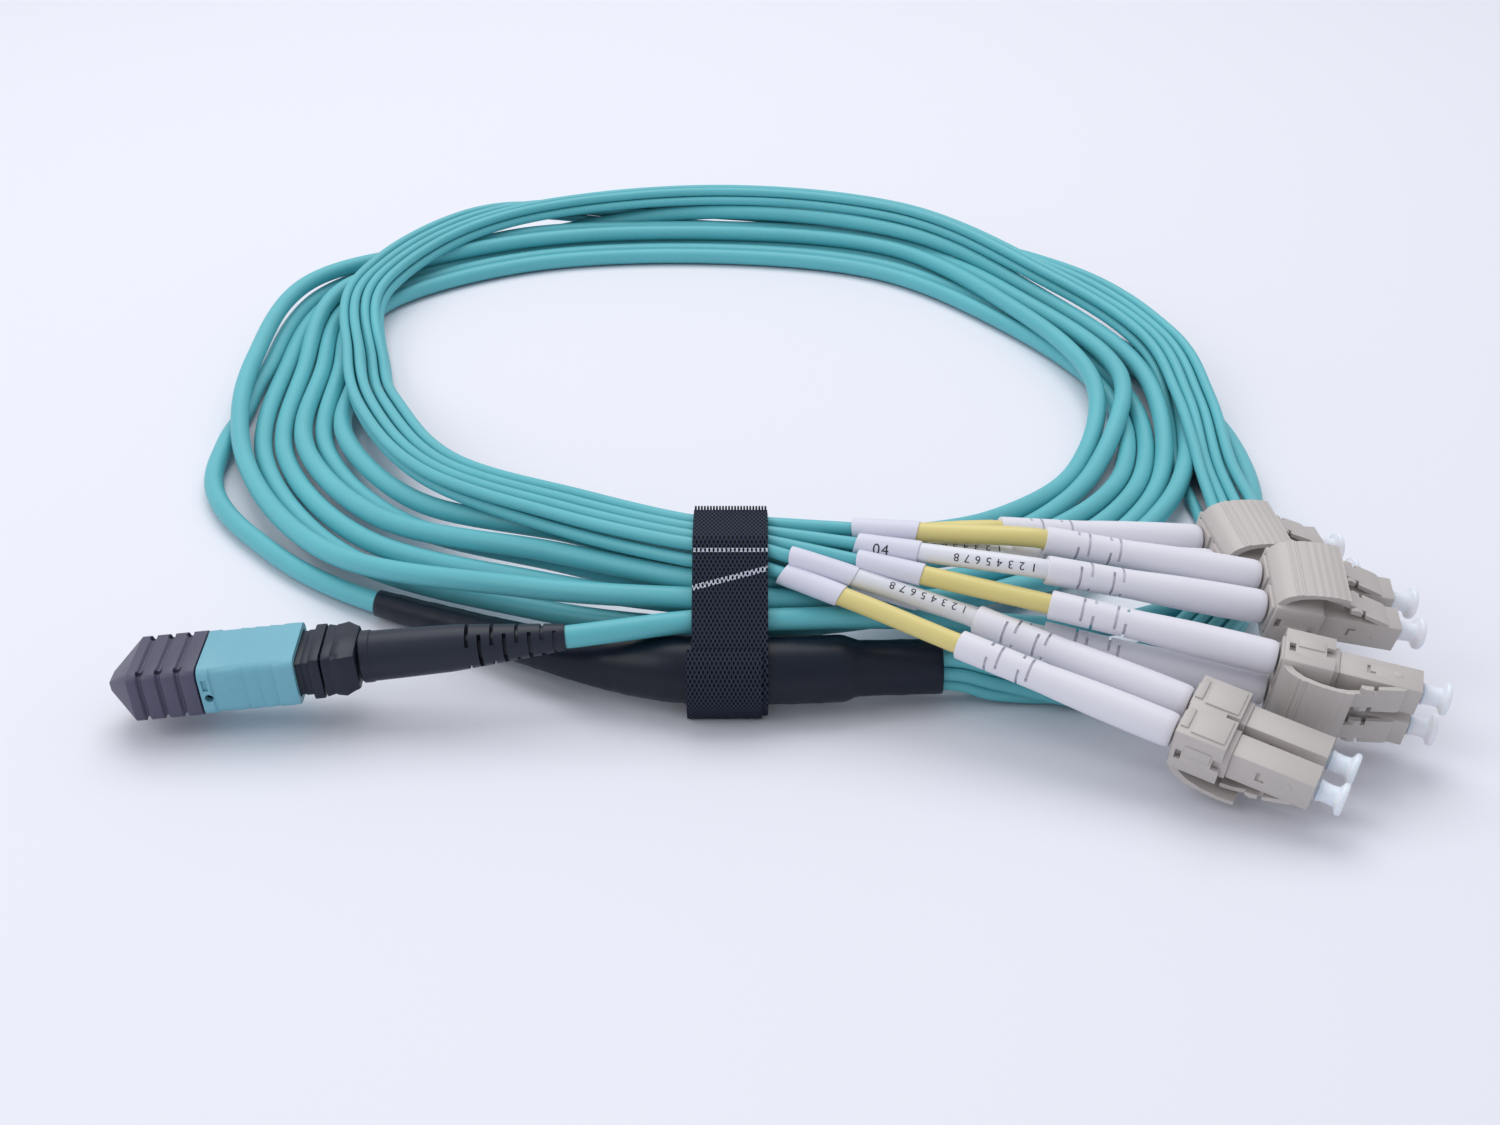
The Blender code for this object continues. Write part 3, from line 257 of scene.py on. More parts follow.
def settle(strands, rounds=150):
    """Pushes strands (points, radius, held share) apart until they only touch each other and the
    table. Every point's shift is blended with its neighbours' along the strand."""
    points = np.concatenate([s[0] for s in strands])
    radius = np.concatenate([np.full(len(s[0]), s[1]) for s in strands])
    held = np.concatenate([s[2] for s in strands])
    start = points.copy()
    offsets = np.cumsum([0] + [len(s[0]) for s in strands])
    strand_of = np.concatenate([np.full(len(s[0]), k) for k, s in enumerate(strands)])
    last = np.zeros(len(points), bool)
    last[offsets[1:] - 1] = True
    index = np.arange(len(points))
    segments = index[~last]
    pairs = []
    for i in index:
        near = segments[np.abs(points[segments] - points[i]).max(axis=1) < 9.0]
        other = (strand_of[near] != strand_of[i]) | (np.abs(near - i) > 12)
        near = near[other]
        pairs.append(np.stack([np.full(len(near), i), near], axis=1))
    pairs = np.concatenate(pairs)
    a, b = pairs[:, 0], pairs[:, 1]
    touch = radius[a] + radius[b] + STRAND_GAP
    free = (1.0 - held)[:, None]
    for _ in range(rounds):
        first, second = points[b], points[b + 1]
        along = second - first
        share = ((points[a] - first) * along).sum(axis=1) / (along ** 2).sum(axis=1)
        share = np.clip(share, 0.0, 1.0)[:, None]
        apart = points[a] - (first + along * share)
        distance = np.linalg.norm(apart, axis=1)
        close = distance < touch
        push = apart[close] / np.maximum(distance[close], 0.05)[:, None]
        push *= ((touch[close] - distance[close]) * 0.30)[:, None]
        shift = np.zeros_like(points)
        count = np.full(len(points), 1e-9)
        np.add.at(shift, a[close], push)
        np.add.at(count, a[close], 1.0)
        np.add.at(shift, b[close], -push * (1 - share[close]))
        np.add.at(count, b[close], 1.0 - share[close][:, 0])
        np.add.at(shift, b[close] + 1, -push * share[close])
        np.add.at(count, b[close] + 1, share[close][:, 0])
        shift /= np.maximum(count, 1.0)[:, None] ** 0.5
        points = points + shift * free
        points[:, 2] = np.maximum(points[:, 2], radius + TABLE_GAP)
        moved = points - start
        for begin, end in zip(offsets[:-1], offsets[1:]):
            run = moved[begin:end]
            blend = run.copy()
            blend[1:-1] = run[1:-1] * 0.5 + (run[:-2] + run[2:]) * 0.25
            moved[begin:end] = run + (blend - run) * 0.6
        points = start + moved * free
        points[:, 2] = np.maximum(points[:, 2], radius + TABLE_GAP)
    return [points[begin:end] for begin, end in zip(offsets[:-1], offsets[1:])]


def settled_strands():
    """Routes of the trunk and of each leg, laid against each other."""
    strands = []
    for route, diameter in [(trunk_route(), TRUNK_D)] + [(leg_route(n), LEG_D) for n in LEGS]:
        held = np.zeros(len(route))
        held[(np.abs(route[:, 0]) < 4) & (route[:, 1] < 30)] = 0.9
        held[:HELD_ENDS] = 1.0
        held[-HELD_ENDS:] = 1.0
        strands.append((route, diameter / 2, held))
    settled = settle(strands)
    return settled[0], dict(zip(LEGS, settled[1:]))


def route_turns(route):
    """Rotation at each point of a route: local Z runs along it, without twist."""
    turns = []
    for direction in np.gradient(np.asarray(route, float)[:, :3], axis=0):
        direction = Vector(direction).normalized()
        if turns:
            turn = (turns[-1] @ Vector((0, 0, 1))).rotation_difference(direction) @ turns[-1]
        else:
            turn = direction.to_track_quat("Z", "Y")
        turns.append(turn)
    return turns


# ---------------------------------------------------------------- camera, cords
def linked(name, data):
    """A new object in the scene."""
    obj = bpy.data.objects.new(name, data)
    bpy.context.scene.collection.objects.link(obj)
    return obj


def add_camera():
    data = bpy.data.cameras.new("camera")
    data.lens = 45.07
    data.sensor_width = 36.0
    data.clip_start = 0.01
    camera = linked("camera", data)
    camera.location = (0.0029, -0.2306, 0.155)
    camera.rotation_euler = (radians(60.5), 0, 0)
    bpy.context.scene.camera = camera


def cord_object(name, points, diameter):
    """A round cord along points in mm; returns it and its finer points."""
    curve = bpy.data.curves.new(name, "CURVE")
    curve.dimensions = "3D"
    curve.bevel_depth = diameter / 2 * MM
    curve.bevel_resolution = 5
    curve.use_fill_caps = True
    fine = even_rows(smooth_rows(points, 3), 1.5)
    spline = curve.splines.new("POLY")
    spline.points.add(len(fine) - 1)
    for i, point in enumerate(fine):
        spline.points[i].co = (*(point * MM), 1.0)
    spline.use_smooth = True
    return linked(name, curve), fine


# ---------------------------------------------------------------- materials
def filled(node, **values):
    """A node with values for its inputs; an underscore stands for a space in an input's name."""
    for socket, value in values.items():
        node.inputs[socket.replace("_", " ")].default_value = value
    return node


def add_node(tree, kind, **values):
    return filled(tree.nodes.new("ShaderNode" + kind), **values)


def principled(name, colour, roughness, **sockets):
    material = bpy.data.materials.new(name)
    material.use_nodes = True
    filled(material.node_tree.nodes["Principled BSDF"], Base_Color=(*colour, 1.0), Roughness=roughness,
           **sockets)
    return material


def speckled(name, colour, roughness, tint=0.06, patch=60.0, grain=900.0, bump=0.04, **sockets):
    """A moulded or extruded plastic: slightly uneven colour and a fine grain on the surface."""
    material = principled(name, colour, roughness, **sockets)
    tree = material.node_tree
    shader = tree.nodes["Principled BSDF"]
    place = add_node(tree, "TexCoord")
    patches = add_node(tree, "TexNoise", Scale=patch, Detail=4.0)
    ramp = add_node(tree, "ValToRGB")
    for element, position, share in zip(ramp.color_ramp.elements, (0.3, 0.7), (1 - tint, 1 + tint)):
        element.position = position
        element.color = (*(min(1.0, c * share) for c in colour), 1.0)
    grains = add_node(tree, "TexNoise", Scale=grain, Detail=2.0)
    relief = add_node(tree, "Bump", Strength=bump, Distance=0.0002)
    gloss = add_node(tree, "MapRange", To_Min=roughness * 0.85, To_Max=min(1.0, roughness * 1.15))
    for source, output, target, socket in (
            (place, "Object", patches, "Vector"), (patches, "Fac", ramp, "Fac"),
            (ramp, "Color", shader, "Base Color"), (place, "Object", grains, "Vector"),
            (grains, "Fac", relief, "Height"), (relief, "Normal", shader, "Normal"),
            (patches, "Fac", gloss, "Value"), (gloss, "Result", shader, "Roughness")):
        tree.links.new(source.outputs[output], target.inputs[socket])
    return material


def woven(name, thread, hole, painted_hook_highlight):
    """Hook-and-loop tape: staggered rows of holes between the threads, darkened with painted shade, and
    two lines of hook tips across it, lit with a painted highlight. The UV map holds millimetres across and
    along the tape."""
    material = principled(name, thread, 0.7, Specular_IOR_Level=0.12)
    tree = material.node_tree
    shader = tree.nodes["Principled BSDF"]

    def maths(operation, first, second=None):
        node = add_node(tree, "Math")
        node.operation = operation
        for socket, value in zip(node.inputs, (first, second)):
            if isinstance(value, (int, float)):
                socket.default_value = value
            elif value is not None:
                tree.links.new(value, socket)
        return node.outputs[0]

    def off_middle(cells, stretch):
        """How far a place is from the middle of its cell, stretched."""
        return maths("MULTIPLY", maths("ABSOLUTE", maths("SUBTRACT", maths("FRACT", cells), 0.5)), stretch)

    def with_fuzz(value, share):
        return maths("ADD", value, maths("MULTIPLY", fuzz.outputs["Fac"], share))

    place = add_node(tree, "UVMap")
    place.uv_map = "tape"
    split = add_node(tree, "SeparateXYZ")
    tree.links.new(place.outputs["UV"], split.inputs[0])
    across, along = split.outputs["X"], split.outputs["Y"]
    row = maths("DIVIDE", along, KNIT_PITCH[1])
    stagger = maths("MULTIPLY", maths("MODULO", maths("FLOOR", row), 2.0), 0.5)
    column = maths("ADD", maths("DIVIDE", across, KNIT_PITCH[0]), stagger)
    squares = [maths("MULTIPLY", off, off) for off in (off_middle(column, 4.4), off_middle(row, 2.2))]
    raised_from = add_node(tree, "MapRange", From_Min=0.75, From_Max=1.25)
    raised_from.interpolation_type = "SMOOTHSTEP"
    tree.links.new(maths("SQRT", maths("ADD", *squares)), raised_from.inputs["Value"])
    raised = raised_from.outputs["Result"]
    fuzz = add_node(tree, "TexNoise", Scale=5.0, Detail=3.0)
    tree.links.new(place.outputs["UV"], fuzz.inputs["Vector"])
    # Painted shade: the near-black hole colour fills the recesses wherever the threads are not raised.
    thread_and_painted_shade = add_node(tree, "Mix")
    thread_and_painted_shade.data_type = "RGBA"
    thread_and_painted_shade.inputs["A"].default_value = (*hole, 1.0)
    thread_and_painted_shade.inputs["B"].default_value = (*thread, 1.0)
    tree.links.new(maths("MULTIPLY", raised, with_fuzz(0.55, 0.8)), thread_and_painted_shade.inputs["Factor"])
    # Painted highlight: the pale colour goes on the tips of the raised threads along the two hook lines.
    level_line = maths("ABSOLUTE", maths("SUBTRACT", along, HOOK_LINES[0]))
    climb = maths("MULTIPLY", across, HOOK_LINE_SLOPE)
    slant_line = maths("ABSOLUTE", maths("SUBTRACT", maths("SUBTRACT", along, HOOK_LINES[1]), climb))
    near_line = maths("MAXIMUM", maths("LESS_THAN", level_line, 0.30), maths("LESS_THAN", slant_line, 0.42))
    tip = maths("GREATER_THAN", with_fuzz(raised, 0.9), 1.36)
    hooks = add_node(tree, "Mix")
    hooks.data_type = "RGBA"
    hooks.inputs["B"].default_value = (*painted_hook_highlight, 1.0)
    tree.links.new(thread_and_painted_shade.outputs["Result"], hooks.inputs["A"])
    tree.links.new(maths("MULTIPLY", near_line, tip), hooks.inputs["Factor"])
    relief = add_node(tree, "Bump", Strength=0.9, Distance=0.00025)
    tree.links.new(with_fuzz(raised, 0.5), relief.inputs["Height"])
    tree.links.new(hooks.outputs["Result"], shader.inputs["Base Color"])
    tree.links.new(relief.outputs["Normal"], shader.inputs["Normal"])
    return material


LOOKS = {
    "jacket": speckled("jacket", (0.112, 0.470, 0.525), 0.47, tint=0.04, grain=1500, bump=0.06),
    "aqua_plastic": speckled("aqua_plastic", (0.170, 0.440, 0.540), 0.42, tint=0.03),
    "grey_cap": speckled("grey_cap", (0.075, 0.070, 0.120), 0.46, tint=0.08),
    "black_plastic": speckled("black_plastic", (0.011, 0.016, 0.030), 0.40, tint=0.10,
                              Specular_IOR_Level=0.35),
    "heat_shrink": speckled("heat_shrink", (0.004, 0.008, 0.018), 0.38, tint=0.10, grain=500, bump=0.05,
                            Specular_IOR_Level=0.28),
    # The second colour is painted shade for the holes of the weave; the third is a painted highlight on the
    # hook tips.
    "strap_weave": woven("strap_weave", (0.030, 0.040, 0.068), (0.0008, 0.001, 0.002), (0.55, 0.60, 0.70)),
    "strap_thread": speckled("strap_thread", (0.022, 0.026, 0.040), 0.6),
    "white_boot": speckled("white_boot", (0.76, 0.75, 0.81), 0.50, tint=0.02, grain=700),
    "beige_plastic": speckled("beige_plastic", (0.53, 0.49, 0.465), 0.44, tint=0.03),
    "white_cap": speckled("white_cap", (0.84, 0.86, 0.92), 0.32, tint=0.02, Subsurface_Weight=0.25),
    "yellow_sleeve": speckled("yellow_sleeve", (0.73, 0.62, 0.23), 0.42, tint=0.03),
    "white_sleeve": speckled("white_sleeve", (0.74, 0.75, 0.80), 0.40, tint=0.02),
    "number_tube": speckled("number_tube", (0.70, 0.70, 0.80), 0.55, tint=0.02),
    "ink": speckled("ink", (0.010, 0.012, 0.020), 0.5),
    "ferrule": speckled("ferrule", (0.72, 0.72, 0.70), 0.25, tint=0.02),
}


# ---------------------------------------------------------------- making pieces
def add_piece(name, bm, look, matrix=None, stands_for=(), body="cable", sharp=32):
    """Turns a finished bmesh in millimetres into an object at the origin, in its place."""
    bmesh.ops.remove_doubles(bm, verts=bm.verts, dist=0.0008)
    bmesh.ops.recalc_face_normals(bm, faces=bm.faces)
    mesh = bpy.data.meshes.new(name)
    bm.to_mesh(mesh)
    bm.free()
    mesh.transform(matrix if matrix is not None else Matrix.Scale(MM, 4))
    mesh.materials.append(LOOKS[look])
    mesh.shade_smooth()
    mesh.set_sharp_from_angle(angle=radians(sharp))
    obj = linked(name, mesh)
    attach(obj, body)
    if stands_for:
        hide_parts(*stands_for)
    return obj


def block(bm, x, y, z, corner=0.0, segments=3):
    """A box between limits in x, y and z, with its four long edges rounded; returns its vertices."""
    size = Vector([high - low for low, high in (x, y, z)])
    middle = Vector([(high + low) / 2 for low, high in (x, y, z)])
    lie = Matrix.Translation(middle) @ Matrix.Diagonal((*size, 1.0))
    verts = bmesh.ops.create_cube(bm, size=1.0, matrix=lie)["verts"]
    if corner:
        long_edges = {e for v in verts for e in v.link_edges
                      if abs(e.verts[0].co.x - e.verts[1].co.x) > size.x * 0.9}
        before = set(bm.verts) - set(verts)
        bmesh.ops.bevel(bm, geom=list(long_edges), offset=corner, offset_type="OFFSET", segments=segments,
                        profile=0.5, affect="EDGES", material=-1, clamp_overlap=True)
        verts = [v for v in bm.verts if v not in before]
    return verts


def soften(bm, width, segments=2, angle=40):
    """Rounds every edge sharper than an angle."""
    sharp = [e for e in bm.edges if len(e.link_faces) == 2 and e.calc_face_angle(0) > radians(angle)]
    bmesh.ops.bevel(bm, geom=sharp, offset=width, offset_type="OFFSET", segments=segments, profile=0.5,
                    affect="EDGES", material=-1, clamp_overlap=True)


def verts_in(geom):
    return [item for item in geom if isinstance(item, bmesh.types.BMVert)]


def extruded(bm, edges):
    """Extrudes a row of edges; returns the new vertices, the new row of edges and the faces."""
    grown = bmesh.ops.extrude_edge_only(bm, edges=edges)["geom"]
    verts = verts_in(grown)
    kept = set(verts)
    row = [item for item in grown if isinstance(item, bmesh.types.BMEdge)
           and item.verts[0] in kept and item.verts[1] in kept]
    return verts, row, [item for item in grown if isinstance(item, bmesh.types.BMFace)]


def profile_solid(bm, outline, y_from, y_to):
    """An outline in x and z, made solid between two places across."""
    face = bm.faces.new([bm.verts.new((x, y_from, z)) for x, z in outline])
    grown = bmesh.ops.extrude_face_region(bm, geom=[face])["geom"]
    bmesh.ops.translate(bm, verts=verts_in(grown), vec=(0, y_to - y_from, 0))


def spun(profile, sides=48):
    """A profile of (x, radius) points turned once round the X axis."""
    bm = bmesh.new()
    verts = [bm.verts.new((x, 0, radius)) for x, radius in profile]
    edges = [bm.edges.new(pair) for pair in zip(verts, verts[1:])]
    bmesh.ops.spin(bm, geom=verts + edges, axis=(1, 0, 0), cent=(0, 0, 0), angle=2 * pi, steps=sides,
                   use_merge=True)
    bmesh.ops.remove_doubles(bm, verts=bm.verts, dist=0.00001)
    bmesh.ops.recalc_face_normals(bm, faces=bm.faces)
    return bm


def sink_slot(bm, x_from, x_to, middle, half_arc, floor):
    """Sinks an arc of a spun skin to a smaller radius. Angles in degrees from +Y towards +Z."""
    way = Vector((0, cos(radians(middle)), sin(radians(middle))))
    chosen = []
    for face in bm.faces:
        centre = face.calc_center_median()
        outward = Vector((0, centre.y, centre.z)).normalized()
        if (x_from < centre.x < x_to and face.normal.dot(outward) >= 0.6
                and outward.dot(way) >= cos(radians(half_arc))):
            chosen.append(face)
    for v in verts_in(bmesh.ops.extrude_face_region(bm, geom=chosen)["geom"]):
        reach = (v.co.y ** 2 + v.co.z ** 2) ** 0.5
        v.co.y *= floor / reach
        v.co.z *= floor / reach
    bmesh.ops.delete(bm, geom=chosen, context="FACES")


def evaluated_shape(obj):
    """A bmesh of an object as its modifiers or its text make it."""
    bpy.context.view_layer.update()
    evaluated = obj.evaluated_get(bpy.context.evaluated_depsgraph_get())
    bm = bmesh.new()
    bm.from_mesh(evaluated.to_mesh())
    evaluated.to_mesh_clear()
    return bm


def carved(bm, *cutters):
    """The shape with the cutters' shapes taken out."""
    def helper(label, source):
        mesh = bpy.data.meshes.new(label)
        bmesh.ops.recalc_face_normals(source, faces=source.faces)
        source.to_mesh(mesh)
        source.free()
        return linked(label, mesh)
    body = helper("carving", bm)
    tools = [helper(f"cutter_{i}", cutter) for i, cutter in enumerate(cutters)]
    for tool in tools:
        step = body.modifiers.new("cut", "BOOLEAN")
        step.operation = "DIFFERENCE"
        step.solver = "EXACT"
        step.object = tool
    result = evaluated_shape(body)
    for obj in [body] + tools:
        bpy.data.objects.remove(obj, do_unlink=True)
    return result


def cylinder(bm, middle, turned_about, radius, length, sides=24):
    """A closed cylinder round a middle: along X when turned about Y, along Y when turned about X."""
    lie = Matrix.Translation(middle) @ Matrix.Rotation(pi / 2, 4, turned_about)
    bmesh.ops.create_cone(bm, cap_ends=True, segments=sides, radius1=radius, radius2=radius,
                          depth=length, matrix=lie)


def rod(x_from, x_to, radius, y=0.0):
    """A closed cylinder along X, in a bmesh of its own."""
    bm = bmesh.new()
    cylinder(bm, ((x_from + x_to) / 2, y, 0.0), "Y", radius, x_to - x_from, 32)
    return bm


def skin(rings, closed=False, sides=32, cap_first=False, cap_last=False):
    """Extrudes a round ring through a list of matrices; a closed skin ends where it began."""
    bm = bmesh.new()
    bmesh.ops.create_circle(bm, segments=sides, radius=1.0, matrix=rings[0])
    edges = list(bm.edges)
    first = edges
    if cap_first:
        bmesh.ops.contextual_create(bm, geom=edges)
    for before, after in zip(rings, rings[1:]):
        verts, edges, _ = extruded(bm, edges)
        bmesh.ops.transform(bm, matrix=after @ before.inverted(), verts=verts)
    if closed:
        bmesh.ops.bridge_loops(bm, edges=first + edges)
    if cap_last:
        bmesh.ops.contextual_create(bm, geom=edges)
    return bm


def tube_on(route, outer, wall, slant=(0.0, 0.0), sides=36):
    """A hollow sleeve along a route; its ends may be cut slanting, in degrees."""
    turns = [turn.to_matrix().to_4x4() for turn in route_turns(route)]
    last = len(route) - 1

    def ring(i, radius, tilt=0.0, shift=0.0):
        lean = Matrix.Rotation(radians(tilt), 4, "X")
        return (Matrix.Translation(Vector(route[i])) @ turns[i] @ Matrix.Translation((0, 0, shift)) @ lean
                @ Matrix.Diagonal((radius, radius, 1.0, 1.0)))
    lip = wall * 0.3
    rings = [ring(0, outer - lip, slant[0]), ring(0, outer, slant[0], lip)]
    rings += [ring(i, outer) for i in range(1, last)]
    rings += [ring(last, outer, slant[1], -lip), ring(last, outer - lip, slant[1]),
              ring(last, outer - wall, slant[1])]
    rings += [ring(i, outer - wall) for i in range(last - 1, 0, -1)]
    rings += [ring(0, outer - wall, slant[0])]
    return skin(rings, closed=True, sides=sides)


# ---------------------------------------------------------------- multi-fibre plug
def chamfered(bm, x_from, x_to, size, corner, segments=2):
    """A block round the plug's axis."""
    across, high = size[0] / 2, size[1] / 2
    block(bm, (x_from, x_to), (-across, across), (-high, high), corner, segments)


def pinch(verts, x, share_y, share_z, reach=0.01):
    """Scales the vertices at a place along X towards the axis."""
    for v in verts:
        if abs(v.co.x - x) < reach:
            v.co.y *= share_y
            v.co.z *= share_z


def slice_across(bm, places, axis=(1, 0, 0)):
    """Cuts new edges into a shape at places along an axis."""
    for place in places:
        bmesh.ops.bisect_plane(bm, geom=list(bm.verts) + list(bm.edges) + list(bm.faces), dist=0.0001,
                               plane_co=Vector(axis) * place, plane_no=axis)


def multi_fibre_boot(matrix):
    slots = [1.5 + 1.78 * k for k in range(8)]
    profile = [(17.0, 0.0), (17.0, 1.78), (0.0, 1.78), (0.0, 1.86), (0.25, 1.98)]
    for middle in slots:
        for x in (middle - 0.28, middle + 0.28):
            profile.append((x, 1.98 + (3.35 - 1.98) * x / 15.5))
    profile += [(16.6, 3.42), (24.0, 3.6), (27.9, 3.66), (28.1, 3.8), (29.3, 3.8), (29.5, 3.6), (29.5, 0.0)]
    bm = spun(profile, 64)
    for k, middle in enumerate(slots):
        for way in ((90, 270) if k % 2 else (0, 180)):
            sink_slot(bm, middle - 0.28, middle + 0.28, way, 60, 1.84)
    add_piece("slotted_boot_multi", bm, "black_plastic", matrix, ["mpo_boot"])


def crimp_nut(matrix):
    bm = bmesh.new()
    chamfered(bm, 29.8, 34.4, (10.6, 7.0), 1.3, 2)
    slice_across(bm, (31.6, 32.9, 33.2))
    pinch(bm.verts, 29.8, 0.80, 0.92)
    pinch(bm.verts, 33.2, 0.97, 0.96)
    soften(bm, 0.14, 2, 24)
    add_piece("crimp_nut_multi", bm, "black_plastic", matrix, ["mpo_crimp_nut"])


def plug_body(matrix):
    """Flange behind the sleeve, the core inside it, and the fibre ferrule at its face."""
    core = bmesh.new()
    block(core, (35.0, 58.4), (-4.7, 4.7), (-2.7, 2.7), 0.5, 2)
    pocket = bmesh.new()
    block(pocket, (57.2, 60.0), (-3.7, 3.7), (-1.75, 1.75), 0.4, 2)
    core = carved(core, pocket)
    block(core, (34.7, 36.2), (-5.3, 5.3), (-3.5, 3.5), 1.0, 2)
    block(core, (36.2, 37.4), (-4.85, 4.85), (-2.85, 2.85), 0.7, 2)
    block(core, (50.0, 57.8), (-1.1, 1.1), (2.6, 2.95), 0.1, 1)
    soften(core, 0.10, 2, 50)
    add_piece("plug_body_multi", core, "black_plastic", matrix, ["mpo_body"])
    ferrule = bmesh.new()
    block(ferrule, (56.4, 58.1), (-3.2, 3.2), (-1.25, 1.25), 0.15, 2)
    ferrule = carved(ferrule, rod(57.0, 59.0, 0.35, -2.3), rod(57.0, 59.0, 0.35, 2.3))
    add_piece("ferrule_multi", ferrule, "beige_plastic", matrix)
    row = bmesh.new()
    for k in range(12):
        cylinder(row, (58.1, (k - 5.5) * 0.25, 0), "Y", 0.07, 0.04, 10)
    add_piece("fibre_row_multi", row, "ferrule", matrix)


def pull_sleeve(matrix):
    """The sliding sleeve: bowed ribbed sides, a raised front collar and a sight hole."""
    x_from, x_to = 38.2, 51.8
    bm = bmesh.new()
    chamfered(bm, x_from, x_to, MPO_SIZE, 1.5, 5)
    # The ribs: places along the sleeve, and the share of its width there
    steps = {38.2: 0.965, 39.3: 1.0, 40.9: 1.0, 41.1: 0.955, 43.0: 1.0, 43.2: 0.955, 45.1: 1.0, 45.3: 0.955,
             47.2: 1.0, 47.4: 0.96, 50.0: 0.96, 50.2: 1.0, 51.8: 0.985}
    slice_across(bm, list(steps)[1:-1])
    for v in bm.verts:
        place = min(steps, key=lambda x: abs(x - v.co.x))
        bowed = abs(v.co.y) > 4.6
        v.co.y *= steps[place] if bowed else 1.0
        v.co.z *= 1.0 if place > 50.1 or place < 39 else 0.985
    through = bmesh.new()
    block(through, (x_from - 2, x_to + 2), (-5.0, 5.0), (-3.0, 3.0), 0.5, 2)
    hole = bmesh.new()
    cylinder(hole, (50.7, 0, -0.7), "X", 0.62, 30.0)
    window = bmesh.new()
    for sides in ((5.8, 7.0), (-7.0, -5.8)):
        block(window, (50.55, 51.35), sides, (0.5, 2.3))
    bm = carved(bm, through, hole, window)
    add_piece("pull_sleeve_multi", bm, "aqua_plastic", matrix, ["mpo_sleeve"], "mpo_sleeve")


def multi_fibre_cap(matrix):
    """Dust cap with a pyramid nose and three grooves round it, each deeper at the corners."""
    x_from, x_to = 52.1, 61.7
    bm = bmesh.new()
    chamfered(bm, x_from, x_to, MPO_SIZE, 1.3, 4)
    grooves = [x_from + start for start in (2.0, 4.7, 7.4)]
    slice_across(bm, [groove + step for groove in grooves for step in (0.0, 0.3, 0.6, 0.9)])
    for groove in grooves:
        for step in (0.3, 0.6):
            pinch(bm.verts, groove + step, 0.925, 0.915)
    front = [f for f in bm.faces if f.normal.x > 0.9 and f.calc_center_median().x > x_to - 0.01]
    for v in verts_in(bmesh.ops.extrude_face_region(bm, geom=front)["geom"]):
        v.co.x += 4.0
        v.co.y *= 0.26
        v.co.z *= 0.20
    bmesh.ops.delete(bm, geom=front, context="FACES")
    pocket = bmesh.new()
    block(pocket, (x_from - 2, 58.7), (-5.0, 5.0), (-3.0, 3.0), 0.5, 2)
    notches = bmesh.new()
    for groove in grooves:
        for side in (-1, 1):
            for high in (-1, 1):
                block(notches, (groove - 0.15, groove + 1.0),
                      sorted((side * 4.3, side * 5.3)), sorted((high * 3.1, high * 4.6)))
    bm = carved(bm, pocket, notches)
    soften(bm, 0.09, 2, 48)
    add_piece("dust_cap_multi", bm, "grey_cap", matrix, ["mpo_dust_cap"], "mpo_dust_cap")


# ---------------------------------------------------------------- single-fibre plugs
def slotted_boot(number, matrix):
    rear = -BOOT_LENGTH
    slots = [(4.7, 0), (6.3, 90), (9.5, 0), (10.9, 90)]
    profile = [(rear + 12.0, 0.0), (rear + 12.0, 1.5), (rear, 1.5), (rear, 1.85), (rear + 0.12, 2.05),
               (rear + 0.35, 2.1)]
    for x, _ in slots:
        profile += [(rear + x - 0.2, 2.1), (rear + x + 0.2, 2.1)]
    profile += [(rear + 13.0, 2.12), (rear + 16.0, 2.26), (rear + 20.0, 2.4), (-6.0, 2.5), (-1.2, 2.5),
                (-0.45, 2.42), (-0.08, 2.2), (0.0, 1.9), (0.0, 0.0)]
    bm = spun(profile)
    turn = 28 if number % 2 else -18
    for x, way in slots:
        for side in (0, 180):
            sink_slot(bm, rear + x - 0.2, rear + x + 0.2, way + side + turn, 62, 1.56)
    return add_piece(f"slotted_boot_{number}", bm, "white_boot", matrix, [f"plug_boot_{number}"])


def plug_housing(number, matrix):
    front = HOUSING_LENGTH
    bm = bmesh.new()
    block(bm, (8.35, front), (-2.26, 2.26), (-2.26, 2.26), 0.22, 2)
    pocket = rod(front - 7.0, front + 1.0, 1.65)
    windows = bmesh.new()
    for side in (-1, 1):
        profile_solid(windows, [(12.0, -0.75), (12.45, -0.75), (12.45, 0.35), (13.2, 0.35), (13.2, 0.75),
                                (12.0, 0.75)], side * 1.9, side * 3.0)
    bm = carved(bm, pocket, windows)
    block(bm, (0.3, 8.2), (-2.5, 2.5), (-2.5, 2.5), 0.35, 2)
    block(bm, (8.1, 8.45), (-2.16, 2.16), (-2.16, 2.16), 0.2, 2)
    for side in (-1, 1):
        cylinder(bm, (16.3, side * 2.27, -0.2), "X", 0.62, 0.10)
    soften(bm, 0.08, 2, 50)
    profile_solid(bm, [(17.5, 2.0), (17.5, 2.45), (16.9, 2.75), (13.9, 3.62), (13.7, 3.60), (13.7, 3.05),
                       (15.9, 2.3), (16.0, 2.0)], -2.15, 2.15)
    profile_solid(bm, [(15.0, 2.6), (15.0, 3.3), (12.2, 4.2), (10.0, 4.85), (8.3, 5.12), (7.9, 5.05),
                       (7.9, 4.45), (9.8, 4.2), (12.0, 3.5)], -1.3, 1.3)
    profile_solid(bm, [(13.1, 3.2), (13.1, 3.9), (12.2, 4.2), (11.4, 4.0), (11.4, 3.45), (12.2, 3.35)],
                  -2.1, 2.1)
    housing = add_piece(f"housing_{number}", bm, "beige_plastic", matrix, [f"plug_housing_{number}"])
    tip = spun([(front - 8.0, 0.0), (front - 8.0, 0.62), (front - 1.3, 0.62), (front - 1.05, 0.48),
                (front - 1.0, 0.0)], 24)
    ferrule = add_piece(f"ferrule_{number}", tip, "ferrule", matrix)
    return [housing, ferrule]


